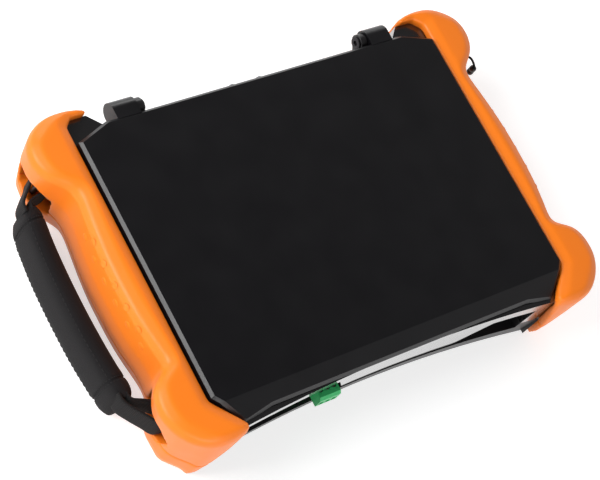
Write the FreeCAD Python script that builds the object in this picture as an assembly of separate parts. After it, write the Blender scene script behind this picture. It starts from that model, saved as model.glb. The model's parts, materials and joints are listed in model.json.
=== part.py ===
import FreeCAD, Part
import math
import os
from FreeCAD import Vector

# Handheld camera tester lying on its back: a tablet-shaped case with a hinged flip cover over the
# screen and keys, rubber bumpers on both ends and a hand strap on the left end.
# X runs along the long side, Y from the port edge to the hinge edge and Z up out of the screen.
# The origin lies on the resting plane, under the middle of the case.

os.makedirs("parts", exist_ok=True)

# ---- overall sizes of the case (mm) ----
CASE_HALF_X = 114.5                      # side wall of the hard case, inside the bumpers
CASE_TOP = 45.6                          # rim that the closed cover lies over
REAR_WALL_Y = 73.6                       # rear wall between the hinges
FRONT_LOW_MID = 74.0                     # middle of the concave port edge, at the bottom
SEAM = 16.8                              # joint between back shell and front shell
WALL = 2.5                               # wall of both shells
REAR_CORNER_X = CASE_HALF_X - 20.0       # the rear corners stand out behind the rear wall
REAR_CORNER_Y = REAR_WALL_Y + 9.6
FRONT_END_X = CASE_HALF_X - 10.5         # ends of the concave port edge
FRONT_LOW_END = FRONT_LOW_MID + 6.8
FRONT_HIGH_MID = FRONT_LOW_MID + 4.4
FRONT_HIGH_END = FRONT_LOW_MID + 10.0
BEVEL_LOW_X = 10.5                       # slanted lower and upper edges along the sides
BEVEL_LOW_Z = 12.5
BEVEL_HIGH_X = 4.5
BEVEL_HIGH_Z = 3.6
CORNER_CUT = 10.5
DEPTH = REAR_WALL_Y + FRONT_LOW_MID

# ---- cover ----
COVER_HALF_X = CASE_HALF_X - 7.0
COVER_REAR_Y = REAR_WALL_Y + 1.6
COVER_FRONT_Y = FRONT_LOW_MID + 4.7
COVER_TOP = CASE_TOP + 6.8
COVER_GAP = 0.4                          # air between the cover's rim and the case
COVER_SKIN = 2.4
COVER_RIM = 2.6
COVER_CHAMFER = 1.4
FLARE_X = COVER_HALF_X - 28.9            # the front edge turns forward from here to the corner
FLARE_CORNER_X = COVER_HALF_X - 12.7
FLARE_DEPTH = 2.9
SIDE_BEND_Y = COVER_FRONT_Y - 12.4
REAR_CHAMFER_X = COVER_HALF_X - 17.9
REAR_CHAMFER_Y = COVER_REAR_Y - 6.3
NOSE_START_Y = COVER_FRONT_Y - 8.8       # the top falls away from here to the front edge
NOSE_DROP = 0.5

# ---- hinge ----
HINGE_Y = REAR_WALL_Y + 6.3
HINGE_Z = CASE_TOP + 1.3
BARREL_R = 5.4
BARREL_LENGTH = 13.3
BARREL_X0 = COVER_HALF_X - 24.0 - BARREL_LENGTH
KNUCKLE_R = 4.2
KNUCKLE_LENGTH = 3.6
HINGE_SIDE_GAP = 0.4
PIN_R = 2.0
PIN_FIT = 0.05                           # running clearance of the pin in the barrel
PIN_END_GAP = 0.5
PIN_DEPTH = BARREL_LENGTH - 4.0
PIN_HEAD_R = 3.2
PIN_HEAD_T = 1.0
BRACKET_FOOT_T = 1.5
BRACKET_LOW = HINGE_Z - 16.4
BRACKET_HIGH = HINGE_Z - 4.4
BRACKET_SCREW_ZS = (HINGE_Z - 13.5, HINGE_Z - 7.5)

# ---- bumpers ----
BUMPER_CAP_X = CASE_HALF_X - 17.5        # where the caps end along the front and rear edges
CAP_SLANT = 0.28                         # the front caps end further out lower down, by this much per height
BUMPER_INNER_GAP = 1.0                   # gap between cover edge and bumper lip
LIP_Z = CASE_TOP + 4.3
CREST_Z = CASE_TOP + 6.4
CREST_SPREAD = 5.2
SLOT_LOW = 13.5                          # strap slots in the outer walls
SLOT_HIGH = CASE_TOP - 13.1
SLOT_DEPTH_X = CASE_HALF_X + 0.4
BAR_R = 1.4
BAR_X = CASE_HALF_X + 6.0
BAR_SEAT = 2.4
REAR_BAR_Y = REAR_WALL_Y - 6.6
FRONT_BAR_Y = FRONT_LOW_MID - 13.0

# ---- deck, screen and keys ----
DECK_DROP = 2.0                          # screen and keys sit this far below the rim
DECK_HALF_X = CASE_HALF_X - 12.5
DECK_REAR_Y = REAR_WALL_Y - 4.6
DECK_FRONT_Y = FRONT_LOW_MID - 2.0
GLASS_LEFT = -CASE_HALF_X + 15.5
GLASS_LENGTH = 2 * CASE_HALF_X - 53.0
GLASS_WIDTH = DEPTH - 29.6
GLASS_MID_Y = (REAR_WALL_Y - FRONT_LOW_MID) / 2 + 3.2
GLASS_T = 1.1
GLASS_FIT = 0.2
GLASS_LEDGE = 4.0
MODULE_T = 6.5
KEY_COLUMNS = 2
KEY_ROWS = 6
KEY_X0 = CASE_HALF_X - 30.5
KEY_Y0 = -FRONT_LOW_MID + 22.5
KEY_PITCH_Y = (DEPTH - 54.6) / (KEY_ROWS - 1)
KEY_LENGTH = 9.0
KEY_WIDTH = 8.4
KEY_FIT = 0.2
KEY_PROUD = 1.7
KEY_FLANGE = 0.9
KEY_FLANGE_T = 0.8
KEY_TRAVEL = 0.8
KEY_PITCH_X = KEY_LENGTH + 2 * KEY_FLANGE + 0.8
MAT_T = 1.5
BOARD_T = 1.6

# ---- port pockets ----
POCKET_WALL = 2.0
FRONT_POCKET_HALF_X = CASE_HALF_X - 20.5
FRONT_POCKET_SLANT = 3.6
STEP_LEFT = -20.0                        # the pocket is low between the two groups of ports
STEP_RIGHT = 50.0
STEP_SLANT = 13.0
FRONT_POCKET_Y = FRONT_LOW_MID - 5.0
REAR_POCKET_HALF_X = 47.0
REAR_POCKET_Y = REAR_WALL_Y - 9.1
POCKET_LOW = SEAM - 7.4
POCKET_HIGH = CASE_TOP - 10.0
STEP_Z = SEAM - POCKET_WALL
PANEL_T = 1.6
PORT_BOARD_Z = POCKET_LOW + 1.6
PORT_BOARD_DEPTH = 22.0

# ---- inner boards and battery ----
FLOOR = WALL
MAIN_BOARD_Z = CASE_TOP - 21.1
MAIN_BOARD_SIZE = (2 * CASE_HALF_X - 53.0, DEPTH - 69.6)
BATTERY_SIZE = (2 * CASE_HALF_X - 117.0, DEPTH - 81.6, MAIN_BOARD_Z - FLOOR - 5.0)
BATTERY_FIT = 0.5
STANDOFF_R = 3.4

# ---- hand strap ----
PAD_X = BAR_X + 16.1
PAD_T = 8.4
PAD_LOW = 1.4
PAD_HIGH = SLOT_HIGH - 1.9
PAD_REAR_Y = REAR_BAR_Y - 10.5
PAD_FRONT_Y = FRONT_BAR_Y - 14.5
PAD_BOW = 3.2
WEB_T = 1.5
WEB_LOW = SLOT_LOW + 1.7
WEB_HIGH = SLOT_HIGH - 3.9
STRAP_SLACK = 2.0

# ---- posts and screws ----
POST_R = 4.2
CASE_SCREW_R = 1.25
CASE_SCREW_FIT_R = 1.7
CASE_HEAD_R = 2.9
CASE_HEAD_DEPTH = 3.0
CASE_HEAD_T = 2.2
CASE_SCREW_REACH = 10.2                  # how far the case screws run into the front shell
MODULE_POST_R = 2.6
KEYPAD_POST_R = 1.9
SMALL_SCREW_R = 0.8
BOARD_SCREW_R = 1.25
BOARD_HOLE_R = 1.6
BRACKET_SCREW_R = 1.0
HEAD_FIT = 0.2

# ---- sockets: half width or radius, and height or centre above the port board ----
NETWORK_HALF = 8.0
NETWORK_HEIGHT = 13.4
USB_HALF = 7.2
USB_HEIGHT = 7.2
VIDEO_HALF = 7.8
VIDEO_HEIGHT = 6.2
POWER_R = 4.6
POWER_Z = 6.0
AUDIO_R = 3.0
AUDIO_Z = 3.4
COAX_R = 4.8
COAX_Z = 8.0
COAX_HALF = 7.2
COAX_HEIGHT = 14.6
CUT_FIT = 0.15                           # air round a socket in its panel
FAR = 200.0                              # cutting tools reach past everything


# ---------------------------------------------------------------- helpers
def box(x0, x1, y0, y1, z0, z1):
    return Part.makeBox(x1 - x0, y1 - y0, z1 - z0, Vector(x0, y0, z0))


def rod(radius, start, axis, length):
    return Part.makeCylinder(radius, length, Vector(*start), Vector(*axis))


def outline_face(points):
    wire = Part.makePolygon([Vector(*p) for p in points + points[:1]])
    return Part.Face(wire)


def plan_prism(points, z0, z1):
    return outline_face([(x, y, z0) for x, y in points]).extrude(Vector(0, 0, z1 - z0))


def mirrored(shape):
    return shape.mirror(Vector(0, 0, 0), Vector(1, 0, 0))


def both_sides(points):
    """Close a right-hand outline with its mirror image."""
    return points + [(-x, y) for x, y in reversed(points)]


def inset_prism(face, inset, vector):
    flat = face if inset == 0 else face.makeOffset2D(-inset, join=2)
    return flat.extrude(vector)


def union(shapes):
    whole = shapes[0]
    for shape in shapes[1:]:
        whole = whole.fuse(shape)
    return whole.removeSplitter()


def cut_all(shape, tools):
    for tool in tools:
        shape = shape.cut(tool)
    return shape


def rounded_box(x0, x1, y0, y1, z0, z1, radius):
    """Box with its four upright edges rounded."""
    block = box(x0, x1, y0, y1, z0, z1)
    upright = [e for e in block.Edges if abs(e.Vertexes[0].Z - e.Vertexes[1].Z) > 1e-6]
    return block.makeFillet(min(radius, (x1 - x0) / 2.2, (y1 - y0) / 2.2), upright)


NODES = {}


def add(name, *solids):
    NODES[name] = Part.makeCompound(list(solids)) if len(solids) > 1 else solids[0]


# ---------------------------------------------------------------- hard case
def front_cutter(inset):
    """What is cut away in front of the concave port edge: ruled between a low and a high arc."""
    wires = []
    for z, middle, end in ((-1.0, FRONT_LOW_MID, FRONT_LOW_END),
                           (CASE_TOP + 1.0, FRONT_HIGH_MID, FRONT_HIGH_END)):
        left = Vector(-FRONT_END_X, -end + inset, z)
        top = Vector(0, -middle + inset, z)
        right = Vector(FRONT_END_X, -end + inset, z)
        far_right = Vector(FRONT_END_X, -FAR, z)
        far_left = Vector(-FRONT_END_X, -FAR, z)
        edges = [Part.Arc(left, top, right).toShape(),
                 Part.makeLine(right, far_right),
                 Part.makeLine(far_right, far_left),
                 Part.makeLine(far_left, left)]
        wires.append(Part.Wire(edges))
    return Part.makeLoft(wires, True, True)


def case_block(inset=0.0):
    """Outer form of the hard case, or its inside when moved inward by a wall."""
    plan = both_sides([(REAR_CORNER_X - 9.0, REAR_WALL_Y),
                       (REAR_CORNER_X, REAR_CORNER_Y),
                       (CASE_HALF_X - CORNER_CUT, REAR_CORNER_Y),
                       (CASE_HALF_X, REAR_CORNER_Y - CORNER_CUT),
                       (CASE_HALF_X, -FRONT_LOW_END + CORNER_CUT),
                       (FRONT_END_X - 1.0, -FRONT_HIGH_END)])
    body = inset_prism(outline_face([(x, y, 0) for x, y in plan]), inset, Vector(0, 0, CASE_TOP))
    ends = [(CASE_HALF_X - BEVEL_LOW_X, 0.0),
            (CASE_HALF_X, BEVEL_LOW_Z),
            (CASE_HALF_X, CASE_TOP - BEVEL_HIGH_Z),
            (CASE_HALF_X - BEVEL_HIGH_X, CASE_TOP)]
    section = outline_face([(x, -FAR, z) for x, z in both_sides(ends)])
    body = body.common(inset_prism(section, inset, Vector(0, 2 * FAR, 0)))
    rear = [(-FAR, 0), (REAR_WALL_Y - 0.5, 0), (REAR_CORNER_Y, BEVEL_LOW_Z),
            (REAR_CORNER_Y, CASE_TOP), (-FAR, CASE_TOP)]
    rear_face = outline_face([(-FAR, y, z) for y, z in rear])
    body = body.common(inset_prism(rear_face, inset, Vector(2 * FAR, 0, 0)))
    return body.cut(front_cutter(inset))


def front_pocket(grow, y_back):
    """Port pocket in the front edge: slanted ends, and low between the two groups of ports."""
    high = FRONT_POCKET_HALF_X - FRONT_POCKET_SLANT
    points = [(-FRONT_POCKET_HALF_X, POCKET_LOW), (FRONT_POCKET_HALF_X, POCKET_LOW),
              (high, POCKET_HIGH), (STEP_RIGHT + STEP_SLANT, POCKET_HIGH), (STEP_RIGHT, STEP_Z),
              (STEP_LEFT, STEP_Z), (STEP_LEFT - STEP_SLANT, POCKET_HIGH), (-high, POCKET_HIGH)]
    face = outline_face([(x, -FAR, z) for x, z in points])
    return inset_prism(face, -grow, Vector(0, FAR + y_back, 0))


def rear_pocket(grow, y_back):
    return box(-REAR_POCKET_HALF_X - grow, REAR_POCKET_HALF_X + grow, y_back, FAR,
               POCKET_LOW - grow, REAR_POCKET_HIGH + grow)


CASE = case_block()
HOLLOW = case_block(WALL)
LOWER_HALF = box(-FAR, FAR, -FAR, FAR, -1, SEAM)
UPPER_HALF = box(-FAR, FAR, -FAR, FAR, SEAM, FAR)

FRONT_PANEL_Y = FRONT_POCKET_Y - PANEL_T
REAR_PANEL_Y = REAR_POCKET_Y - PANEL_T
DECK_TOP = CASE_TOP - DECK_DROP
DECK_UNDER = CASE_TOP - DECK_DROP - WALL

CASE_SCREWS = [(sx * (CASE_HALF_X - 15.5), y) for y in (REAR_WALL_Y - 5.1, -FRONT_LOW_MID + 9.5)
               for sx in (-1, 1)]
MAIN_STANDOFFS = [(sx * (MAIN_BOARD_SIZE[0] / 2 - 8.0), sy * (MAIN_BOARD_SIZE[1] / 2 - 7.0))
                  for sx in (-1, 1) for sy in (-1, 1)]
FRONT_STANDOFFS = [(x, -FRONT_PANEL_Y + PORT_BOARD_DEPTH - 4.5)
                   for x in (-FRONT_POCKET_HALF_X + 10.0, 30.0, FRONT_POCKET_HALF_X - 10.0)]
REAR_STANDOFFS = [(side * (REAR_POCKET_HALF_X - 7.0), REAR_PANEL_Y - PORT_BOARD_DEPTH + 4.5)
                  for side in (-1, 1)]

PORT_Z = PORT_BOARD_Z + BOARD_T
REAR_POCKET_HIGH = PORT_Z + COAX_HEIGHT + 2.4
FRONT_FACE = -FRONT_POCKET_Y - 0.6
REAR_FACE = REAR_POCKET_Y + 0.6


def pockets_walls():
    front = front_pocket(POCKET_WALL, -FRONT_PANEL_Y + POCKET_WALL)
    rear = rear_pocket(POCKET_WALL, REAR_PANEL_Y - POCKET_WALL)
    return front.fuse(rear).common(CASE)


def pocket_spaces():
    """The pockets, a groove that holds each panel and the way in behind it."""
    groove = 0.9
    lip = -1.5
    before = box(-FAR, FAR, -FRONT_POCKET_Y, 0, 0, FAR)
    after = box(-FAR, FAR, 0, REAR_POCKET_Y, 0, FAR)
    front_depth = -FRONT_PANEL_Y + PORT_BOARD_DEPTH + 5.4
    rear_depth = REAR_PANEL_Y - PORT_BOARD_DEPTH - 0.9
    return [front_pocket(0.0, -FRONT_POCKET_Y),
            front_pocket(groove, -FRONT_PANEL_Y).common(before),
            front_pocket(lip, front_depth).common(before),
            rear_pocket(0.0, REAR_POCKET_Y),
            rear_pocket(groove, REAR_PANEL_Y).common(after),
            rear_pocket(lip, rear_depth).common(after)]


def back_shell():
    shell = CASE.common(LOWER_HALF).cut(HOLLOW)
    posts = [rod(POST_R, (x, y, 0.5), (0, 0, 1), SEAM - 0.5) for x, y in CASE_SCREWS]
    posts += [rod(STANDOFF_R, (x, y, 0.5), (0, 0, 1), MAIN_BOARD_Z - 0.5)
              for x, y in MAIN_STANDOFFS]
    posts += [rod(STANDOFF_R, (x, y, 0.5), (0, 0, 1), PORT_BOARD_Z - 0.5)
              for x, y in FRONT_STANDOFFS + REAR_STANDOFFS]
    length, width, _ = BATTERY_SIZE
    rib = 1.6
    rib_top = FLOOR + 6.0
    x0 = length / 2 + BATTERY_FIT
    y0 = width / 2 + BATTERY_FIT
    fence = box(-x0 - rib, x0 + rib, -y0 - rib, y0 + rib, 0.5, rib_top)
    fence = fence.cut(box(-x0, x0, -y0, y0, FLOOR, rib_top + 1.0))
    fence = fence.cut(box(-30.0, 30.0, -FAR, FAR, FLOOR, rib_top + 1.0))
    posts.append(fence)
    inner = union(posts).common(CASE)
    walls = pockets_walls().common(LOWER_HALF)
    shell = union([shell, walls, inner])
    shell = cut_all(shell, pocket_spaces())
    for x, y in CASE_SCREWS:
        shell = shell.cut(rod(CASE_SCREW_FIT_R, (x, y, -1), (0, 0, 1), SEAM + 2))
        shell = shell.cut(rod(CASE_HEAD_R + HEAD_FIT, (x, y, -1), (0, 0, 1), CASE_HEAD_DEPTH + 1))
    for x, y in MAIN_STANDOFFS + FRONT_STANDOFFS + REAR_STANDOFFS:
        shell = shell.cut(rod(BOARD_SCREW_R, (x, y, FLOOR), (0, 0, 1), FAR))
    for row in range(-2, 3):
        for column in range(-2, 3):
            x = SPEAKER_XY[0] + column * GRILLE_PITCH
            y = SPEAKER_XY[1] + row * GRILLE_PITCH
            if abs(row) + abs(column) < 4:
                shell = shell.cut(rod(GRILLE_R, (x, y, -1), (0, 0, 1), WALL + 1.1))
    return shell


SPEAKER_XY = (-CASE_HALF_X + 30.5, 0.0)
SPEAKER_R = 13.5
GRILLE_PITCH = 4.2
GRILLE_R = 1.0


def key_centres():
    for column in range(KEY_COLUMNS):
        for row in range(KEY_ROWS):
            yield KEY_X0 + column * KEY_PITCH_X, KEY_Y0 + row * KEY_PITCH_Y


def glass_box(grow, z0, z1):
    return box(GLASS_LEFT - grow, GLASS_LEFT + GLASS_LENGTH + grow,
               GLASS_MID_Y - GLASS_WIDTH / 2 - grow, GLASS_MID_Y + GLASS_WIDTH / 2 + grow, z0, z1)


MODULE_POSTS = [(x, GLASS_MID_Y + sy * (GLASS_WIDTH / 2 + 0.8))
                for x in (GLASS_LEFT + 30, GLASS_LEFT + GLASS_LENGTH - 30) for sy in (-1, 1)]
KEY_BOARD_X0 = KEY_X0 - KEY_LENGTH / 2 - 0.1
KEY_BOARD_X1 = KEY_X0 + KEY_PITCH_X * (KEY_COLUMNS - 1) + KEY_LENGTH / 2 + 0.1
KEY_MAT_TOP = DECK_UNDER - KEY_FLANGE_T - 0.1 - KEY_TRAVEL - 0.05
KEYPAD_POSTS = [(KEY_X0 + KEY_PITCH_X / 2, KEY_Y0 + row * KEY_PITCH_Y) for row in (0.5, 2.5, 4.5)]
LED_XS = (-8.4, 8.4)
LED_Z = CASE_TOP - 8.1
LED_R = 2.5
LED_FIT = 0.1


def front_shell():
    shell = CASE.common(UPPER_HALF).cut(HOLLOW)
    deck_plate = box(-DECK_HALF_X - 6, DECK_HALF_X + 6, -DECK_FRONT_Y - 8, DECK_REAR_Y + 3,
                     DECK_UNDER, CASE_TOP).common(CASE)
    posts = [rod(POST_R, (x, y, SEAM), (0, 0, 1), CASE_TOP - SEAM - 1) for x, y in CASE_SCREWS]
    posts += [rod(MODULE_POST_R, (x, y, CARRIER_Z), (0, 0, 1), CASE_TOP - CARRIER_Z - 1)
              for x, y in MODULE_POSTS]
    posts += [rod(KEYPAD_POST_R, (x, y, KEY_MAT_TOP - MAT_T), (0, 0, 1),
                  DECK_UNDER - KEY_MAT_TOP + MAT_T + 1) for x, y in KEYPAD_POSTS]
    inner = union(posts).common(CASE)
    walls = pockets_walls().common(UPPER_HALF)
    shell = union([shell, deck_plate, walls, inner])
    shell = shell.cut(box(-DECK_HALF_X, DECK_HALF_X, -DECK_FRONT_Y, DECK_REAR_Y, DECK_TOP, FAR))
    shell = shell.cut(glass_box(GLASS_FIT, DECK_TOP - GLASS_T, FAR))
    shell = shell.cut(glass_box(-GLASS_LEDGE, DECK_UNDER - 1, FAR))
    shell = cut_all(shell, pocket_spaces())
    for x, y in key_centres():
        shell = shell.cut(key_block(x, y, KEY_FIT, DECK_UNDER - 1, CASE_TOP + 5))
    for x, y in CASE_SCREWS:
        shell = shell.cut(rod(CASE_SCREW_R, (x, y, SEAM - 1), (0, 0, 1), CASE_SCREW_REACH + 5.8))
    for x, y in MODULE_POSTS:
        shell = shell.cut(rod(SMALL_SCREW_R, (x, y, CARRIER_Z - 1), (0, 0, 1), 6))
    for x, y in KEYPAD_POSTS:
        shell = shell.cut(rod(SMALL_SCREW_R, (x, y, KEY_MAT_TOP - MAT_T - 1), (0, 0, 1), 4.2))
    for x, z in bracket_screw_places():
        shell = shell.cut(rod(BRACKET_SCREW_R, (x, REAR_WALL_Y - 4, z), (0, 1, 0), 6))
    for x in LED_XS:
        shell = shell.cut(rod(LED_R + LED_FIT, (x, REAR_WALL_Y - 13.6, LED_Z), (0, 1, 0), 20))
    return shell


def key_block(x, y, grow, z0, z1):
    return rounded_box(x - KEY_LENGTH / 2 - grow, x + KEY_LENGTH / 2 + grow,
                       y - KEY_WIDTH / 2 - grow, y + KEY_WIDTH / 2 + grow, z0, z1, 2.0)


CARRIER_Z = DECK_UNDER - MODULE_T


# ---------------------------------------------------------------- cover and hinges
def cover_plan(grow=0.0):
    points = both_sides([(REAR_CHAMFER_X, COVER_REAR_Y),
                         (COVER_HALF_X, REAR_CHAMFER_Y),
                         (COVER_HALF_X, -SIDE_BEND_Y),
                         (FLARE_CORNER_X, -COVER_FRONT_Y - FLARE_DEPTH),
                         (FLARE_X, -COVER_FRONT_Y)])
    face = outline_face([(x, y, 0) for x, y in points])
    return face if grow == 0 else face.makeOffset2D(grow, join=2)


def lifted(face, z):
    copy = face.copy()
    copy.translate(Vector(0, 0, z))
    return copy


def nose_cutter(drop):
    """Wedge above the sloping front of the cover, lowered by a skin for the inside."""
    low = COVER_TOP - drop
    reach = 40.0
    wedge = [(-NOSE_START_Y, low), (-NOSE_START_Y, low + 30), (-NOSE_START_Y - reach, low + 30),
             (-NOSE_START_Y - reach, low - NOSE_DROP * reach)]
    return outline_face([(-FAR, y, z) for y, z in wedge]).extrude(Vector(2 * FAR, 0, 0))


def screen_cover():
    bottom = CASE_TOP + COVER_GAP
    plate = lifted(cover_plan(), bottom).extrude(Vector(0, 0, COVER_TOP - bottom))
    plate = plate.cut(nose_cutter(0.0))
    rim = [e for e in plate.Edges if borders_top(e)]
    sloping = [e for e in rim if all(v.Y < -NOSE_START_Y - 0.5 for v in e.Vertexes)]
    level = [e for e in rim if any(v.Y > -NOSE_START_Y - 0.5 for v in e.Vertexes)]
    plate = plate.makeChamfer(COVER_CHAMFER, sloping).common(plate.makeChamfer(COVER_CHAMFER, level))
    inside = lifted(cover_plan(-COVER_RIM), bottom - 1)
    inside = inside.extrude(Vector(0, 0, COVER_TOP - COVER_SKIN - bottom + 1))
    inside = inside.cut(nose_cutter(COVER_SKIN))
    inside = inside.cut(box(-FAR, FAR, -FAR, -COVER_FRONT_Y + COVER_RIM, 0, FAR))
    plate = plate.cut(inside)
    parts = [plate]
    for side in (-1, 1):
        x0 = BARREL_X0 if side > 0 else -BARREL_X0 - BARREL_LENGTH
        barrel = rod(BARREL_R, (x0, HINGE_Y, HINGE_Z), (1, 0, 0), BARREL_LENGTH)
        arm = box(x0, x0 + BARREL_LENGTH, COVER_REAR_Y - 1, HINGE_Y,
                  COVER_TOP - 4.6, HINGE_Z + BARREL_R)
        parts += [barrel, arm]
    whole = union(parts)
    for side in (-1, 1):
        start = (side * (BARREL_X0 - 1), HINGE_Y, HINGE_Z)
        whole = whole.cut(rod(PIN_R + PIN_FIT, start, (side, 0, 0), PIN_DEPTH + 1.0 + PIN_END_GAP))
    return whole


def borders_top(edge):
    """Edges that run round the top and the sloping front of the cover."""
    lowest = COVER_TOP - NOSE_DROP * (COVER_FRONT_Y + FLARE_DEPTH - NOSE_START_Y) - 0.01
    ends = [v.Point for v in edge.Vertexes]
    ridge = all(abs(p.y + NOSE_START_Y) < 0.01 for p in ends)
    return all(p.z > lowest for p in ends) and not ridge


def hinge_bracket(side):
    """Bracket on the rear wall with one knuckle inward of the barrel."""
    x1 = BARREL_X0 - HINGE_SIDE_GAP
    x0 = x1 - KNUCKLE_LENGTH
    foot = box(x0 - 6.0, x1, REAR_WALL_Y, REAR_WALL_Y + BRACKET_FOOT_T,
               BRACKET_LOW, BRACKET_HIGH)
    arm = Part.Face(Part.makePolygon([Vector(x0, REAR_WALL_Y, BRACKET_LOW + 3.5),
                                      Vector(x0, REAR_WALL_Y, BRACKET_HIGH),
                                      Vector(x0, HINGE_Y - 2.4, HINGE_Z + 1.0),
                                      Vector(x0, HINGE_Y + KNUCKLE_R * 0.8, HINGE_Z - 2.0),
                                      Vector(x0, REAR_WALL_Y, BRACKET_LOW + 3.5)]))
    arm = arm.extrude(Vector(KNUCKLE_LENGTH, 0, 0))
    knuckle = rod(KNUCKLE_R, (x0, HINGE_Y, HINGE_Z), (1, 0, 0), KNUCKLE_LENGTH)
    bracket = union([foot, arm, knuckle])
    bracket = bracket.cut(rod(PIN_R, (x0 - 1, HINGE_Y, HINGE_Z), (1, 0, 0), KNUCKLE_LENGTH + 2))
    for z in BRACKET_SCREW_ZS:
        bracket = bracket.cut(rod(BRACKET_SCREW_R + 0.05, (x0 - 3.0, REAR_WALL_Y - 1, z), (0, 1, 0), 6))
    return bracket if side > 0 else mirrored(bracket)


def hinge_pin(side):
    x1 = BARREL_X0 - HINGE_SIDE_GAP
    x0 = x1 - KNUCKLE_LENGTH
    reach = KNUCKLE_LENGTH + HINGE_SIDE_GAP + PIN_DEPTH
    pin = rod(PIN_R, (x0, HINGE_Y, HINGE_Z), (1, 0, 0), reach)
    head = rod(PIN_HEAD_R, (x0 - PIN_HEAD_T, HINGE_Y, HINGE_Z), (1, 0, 0), PIN_HEAD_T)
    pin = pin.fuse(head)
    socket = hexagon(Vector(x0 - PIN_HEAD_T - 0.1, HINGE_Y, HINGE_Z), 1.5, Vector(0, 1, 0), Vector(0, 0, 1))
    pin = pin.cut(socket.extrude(Vector(PIN_HEAD_T, 0, 0)))
    return pin if side > 0 else mirrored(pin)


def bracket_screw_places():
    x = BARREL_X0 - HINGE_SIDE_GAP - KNUCKLE_LENGTH - 3.0
    return [(side * x, z) for side in (-1, 1) for z in BRACKET_SCREW_ZS]


def bracket_screws():
    solids = []
    for x, z in bracket_screw_places():
        shank = rod(BRACKET_SCREW_R, (x, REAR_WALL_Y - 1.8, z), (0, 1, 0), BRACKET_FOOT_T + 1.8)
        head = rod(1.9, (x, REAR_WALL_Y + BRACKET_FOOT_T, z), (0, 1, 0), 1.2)
        solids.append(shank.fuse(head))
    return solids


# ---------------------------------------------------------------- bumpers
# Outline of a bumper at its widest, from the rear cap round the outside to the front cap. Each stop
# is how far it stands outside the case's side, its place along Y from the rear wall, the middle or
# the port edge, and how the outline draws in there above and below.
BUMPER_STOPS = [
    (-19.0, "rear", 11.3, "cap"), (-11.5, "rear", 13.4, "cap"), (-2.5, "rear", 13.7, "cap"),
    (5.9, "rear", 11.6, "corner"), (13.5, "rear", 6.0, "corner"), (17.4, "rear", -1.6, "bulge"),
    (17.3, "rear", -9.6, "bulge"), (12.9, "rear", -18.0, "bulge"), (5.9, "rear", -25.6, "waist"),
    (5.9, "rear", -37.6, "waist"), (8.1, "middle", 16.0, "waist"), (8.6, "middle", -2.0, "waist"),
    (7.9, "middle", -20.0, "waist"), (5.7, "front", 38.0, "waist"), (5.9, "front", 29.0, "waist"),
    (13.5, "front", 23.0, "bulge"), (17.4, "front", 15.0, "bulge"), (17.3, "front", 6.4, "bulge"),
    (13.5, "front", -2.4, "corner"), (6.5, "front", -9.6, "corner"), (-2.5, "front", -13.2, "cap"),
    (-11.5, "front", -13.3, "cap"), (-18.3, "front", -11.6, "cap")]
ANCHORS = {"rear": REAR_WALL_Y, "middle": 0.0, "front": -FRONT_LOW_MID}
BUMPER_OUTLINE = [(CASE_HALF_X + out, ANCHORS[anchor] + along, kind)
                  for out, anchor, along, kind in BUMPER_STOPS]
# Height, then how far the outline lies inside the widest one at the rear bulge, the front bulge,
# the waist and the caps.
UPPER_LEVELS = [(SEAM, 5.6, 8.8, 2.2, 0.9), (CASE_TOP - 14.6, 2.2, 4.6, 0.6, 0.3),
                (CASE_TOP + 0.8, 0.0, 0.0, 0.0, 0.0), (CASE_TOP + 4.2, 1.4, 1.4, 2.0, 0.9),
                (CREST_Z, 6.0, 6.0, 7.4, 3.6)]
LOWER_LEVELS = [(0.0, 12.6, 13.0, 10.2, 3.4), (6.6, 8.0, 10.4, 6.0, 1.8),
                (SEAM, 5.6, 8.8, 2.2, 0.9)]


def bumper_wire(level):
    """Closed outline of the right bumper at one height: a smooth outside and a straight inside."""
    z, rear_bulge, front_bulge, waist, cap = level
    points = []
    for x, y, kind in BUMPER_OUTLINE:
        way = 1 if y > 0 else -1
        bulge = rear_bulge if y > 0 else front_bulge
        across = {"cap": bulge * 0.25, "corner": bulge * 0.8, "bulge": bulge, "waist": waist}[kind]
        along = {"cap": cap, "corner": cap * 0.9, "bulge": 0.0, "waist": 0.0}[kind]
        slides_in = kind != "cap" or x > BUMPER_CAP_X + 3.0
        points.append(Vector(x - across if slides_in else x, y - way * along, z))
    curve = Part.BSplineCurve()
    steps = [i / (len(points) - 1) for i in range(len(points))]
    curve.interpolate(Points=points, Parameters=steps)
    inner_x = CASE_HALF_X - 34.5
    rear = Vector(inner_x, points[0].y, z)
    front = Vector(inner_x, points[-1].y, z)
    return Part.Wire([curve.toShape(), Part.makeLine(points[-1], front),
                      Part.makeLine(front, rear), Part.makeLine(rear, points[0])])


def cover_room():
    """Space for the cover between the bumpers: upright up to the lip, then flared to the crest."""
    rear_reach = 6.6
    plan = [(REAR_CHAMFER_X, COVER_REAR_Y + rear_reach), (COVER_HALF_X - 4.0, COVER_REAR_Y + rear_reach),
            (COVER_HALF_X, COVER_REAR_Y + rear_reach - 4.0), (COVER_HALF_X, -SIDE_BEND_Y),
            (FLARE_CORNER_X, -COVER_FRONT_Y - FLARE_DEPTH), (FLARE_X, -COVER_FRONT_Y)]
    face = outline_face([(x, y, 0) for x, y in both_sides(plan)])
    lip = face.makeOffset2D(BUMPER_INNER_GAP, join=2)
    crest = face.makeOffset2D(BUMPER_INNER_GAP + CREST_SPREAD, join=2)
    straight = lifted(lip, CASE_TOP).extrude(Vector(0, 0, LIP_Z - CASE_TOP))
    rise = (CREST_Z + 0.4 - LIP_Z) / (CREST_Z - LIP_Z)
    over = face.makeOffset2D(BUMPER_INNER_GAP + CREST_SPREAD * rise, join=2)
    flare = Part.makeLoft([lifted(lip, LIP_Z).OuterWire, lifted(over, CREST_Z + 0.4).OuterWire],
                          True, True)
    return straight.fuse(flare)


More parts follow.
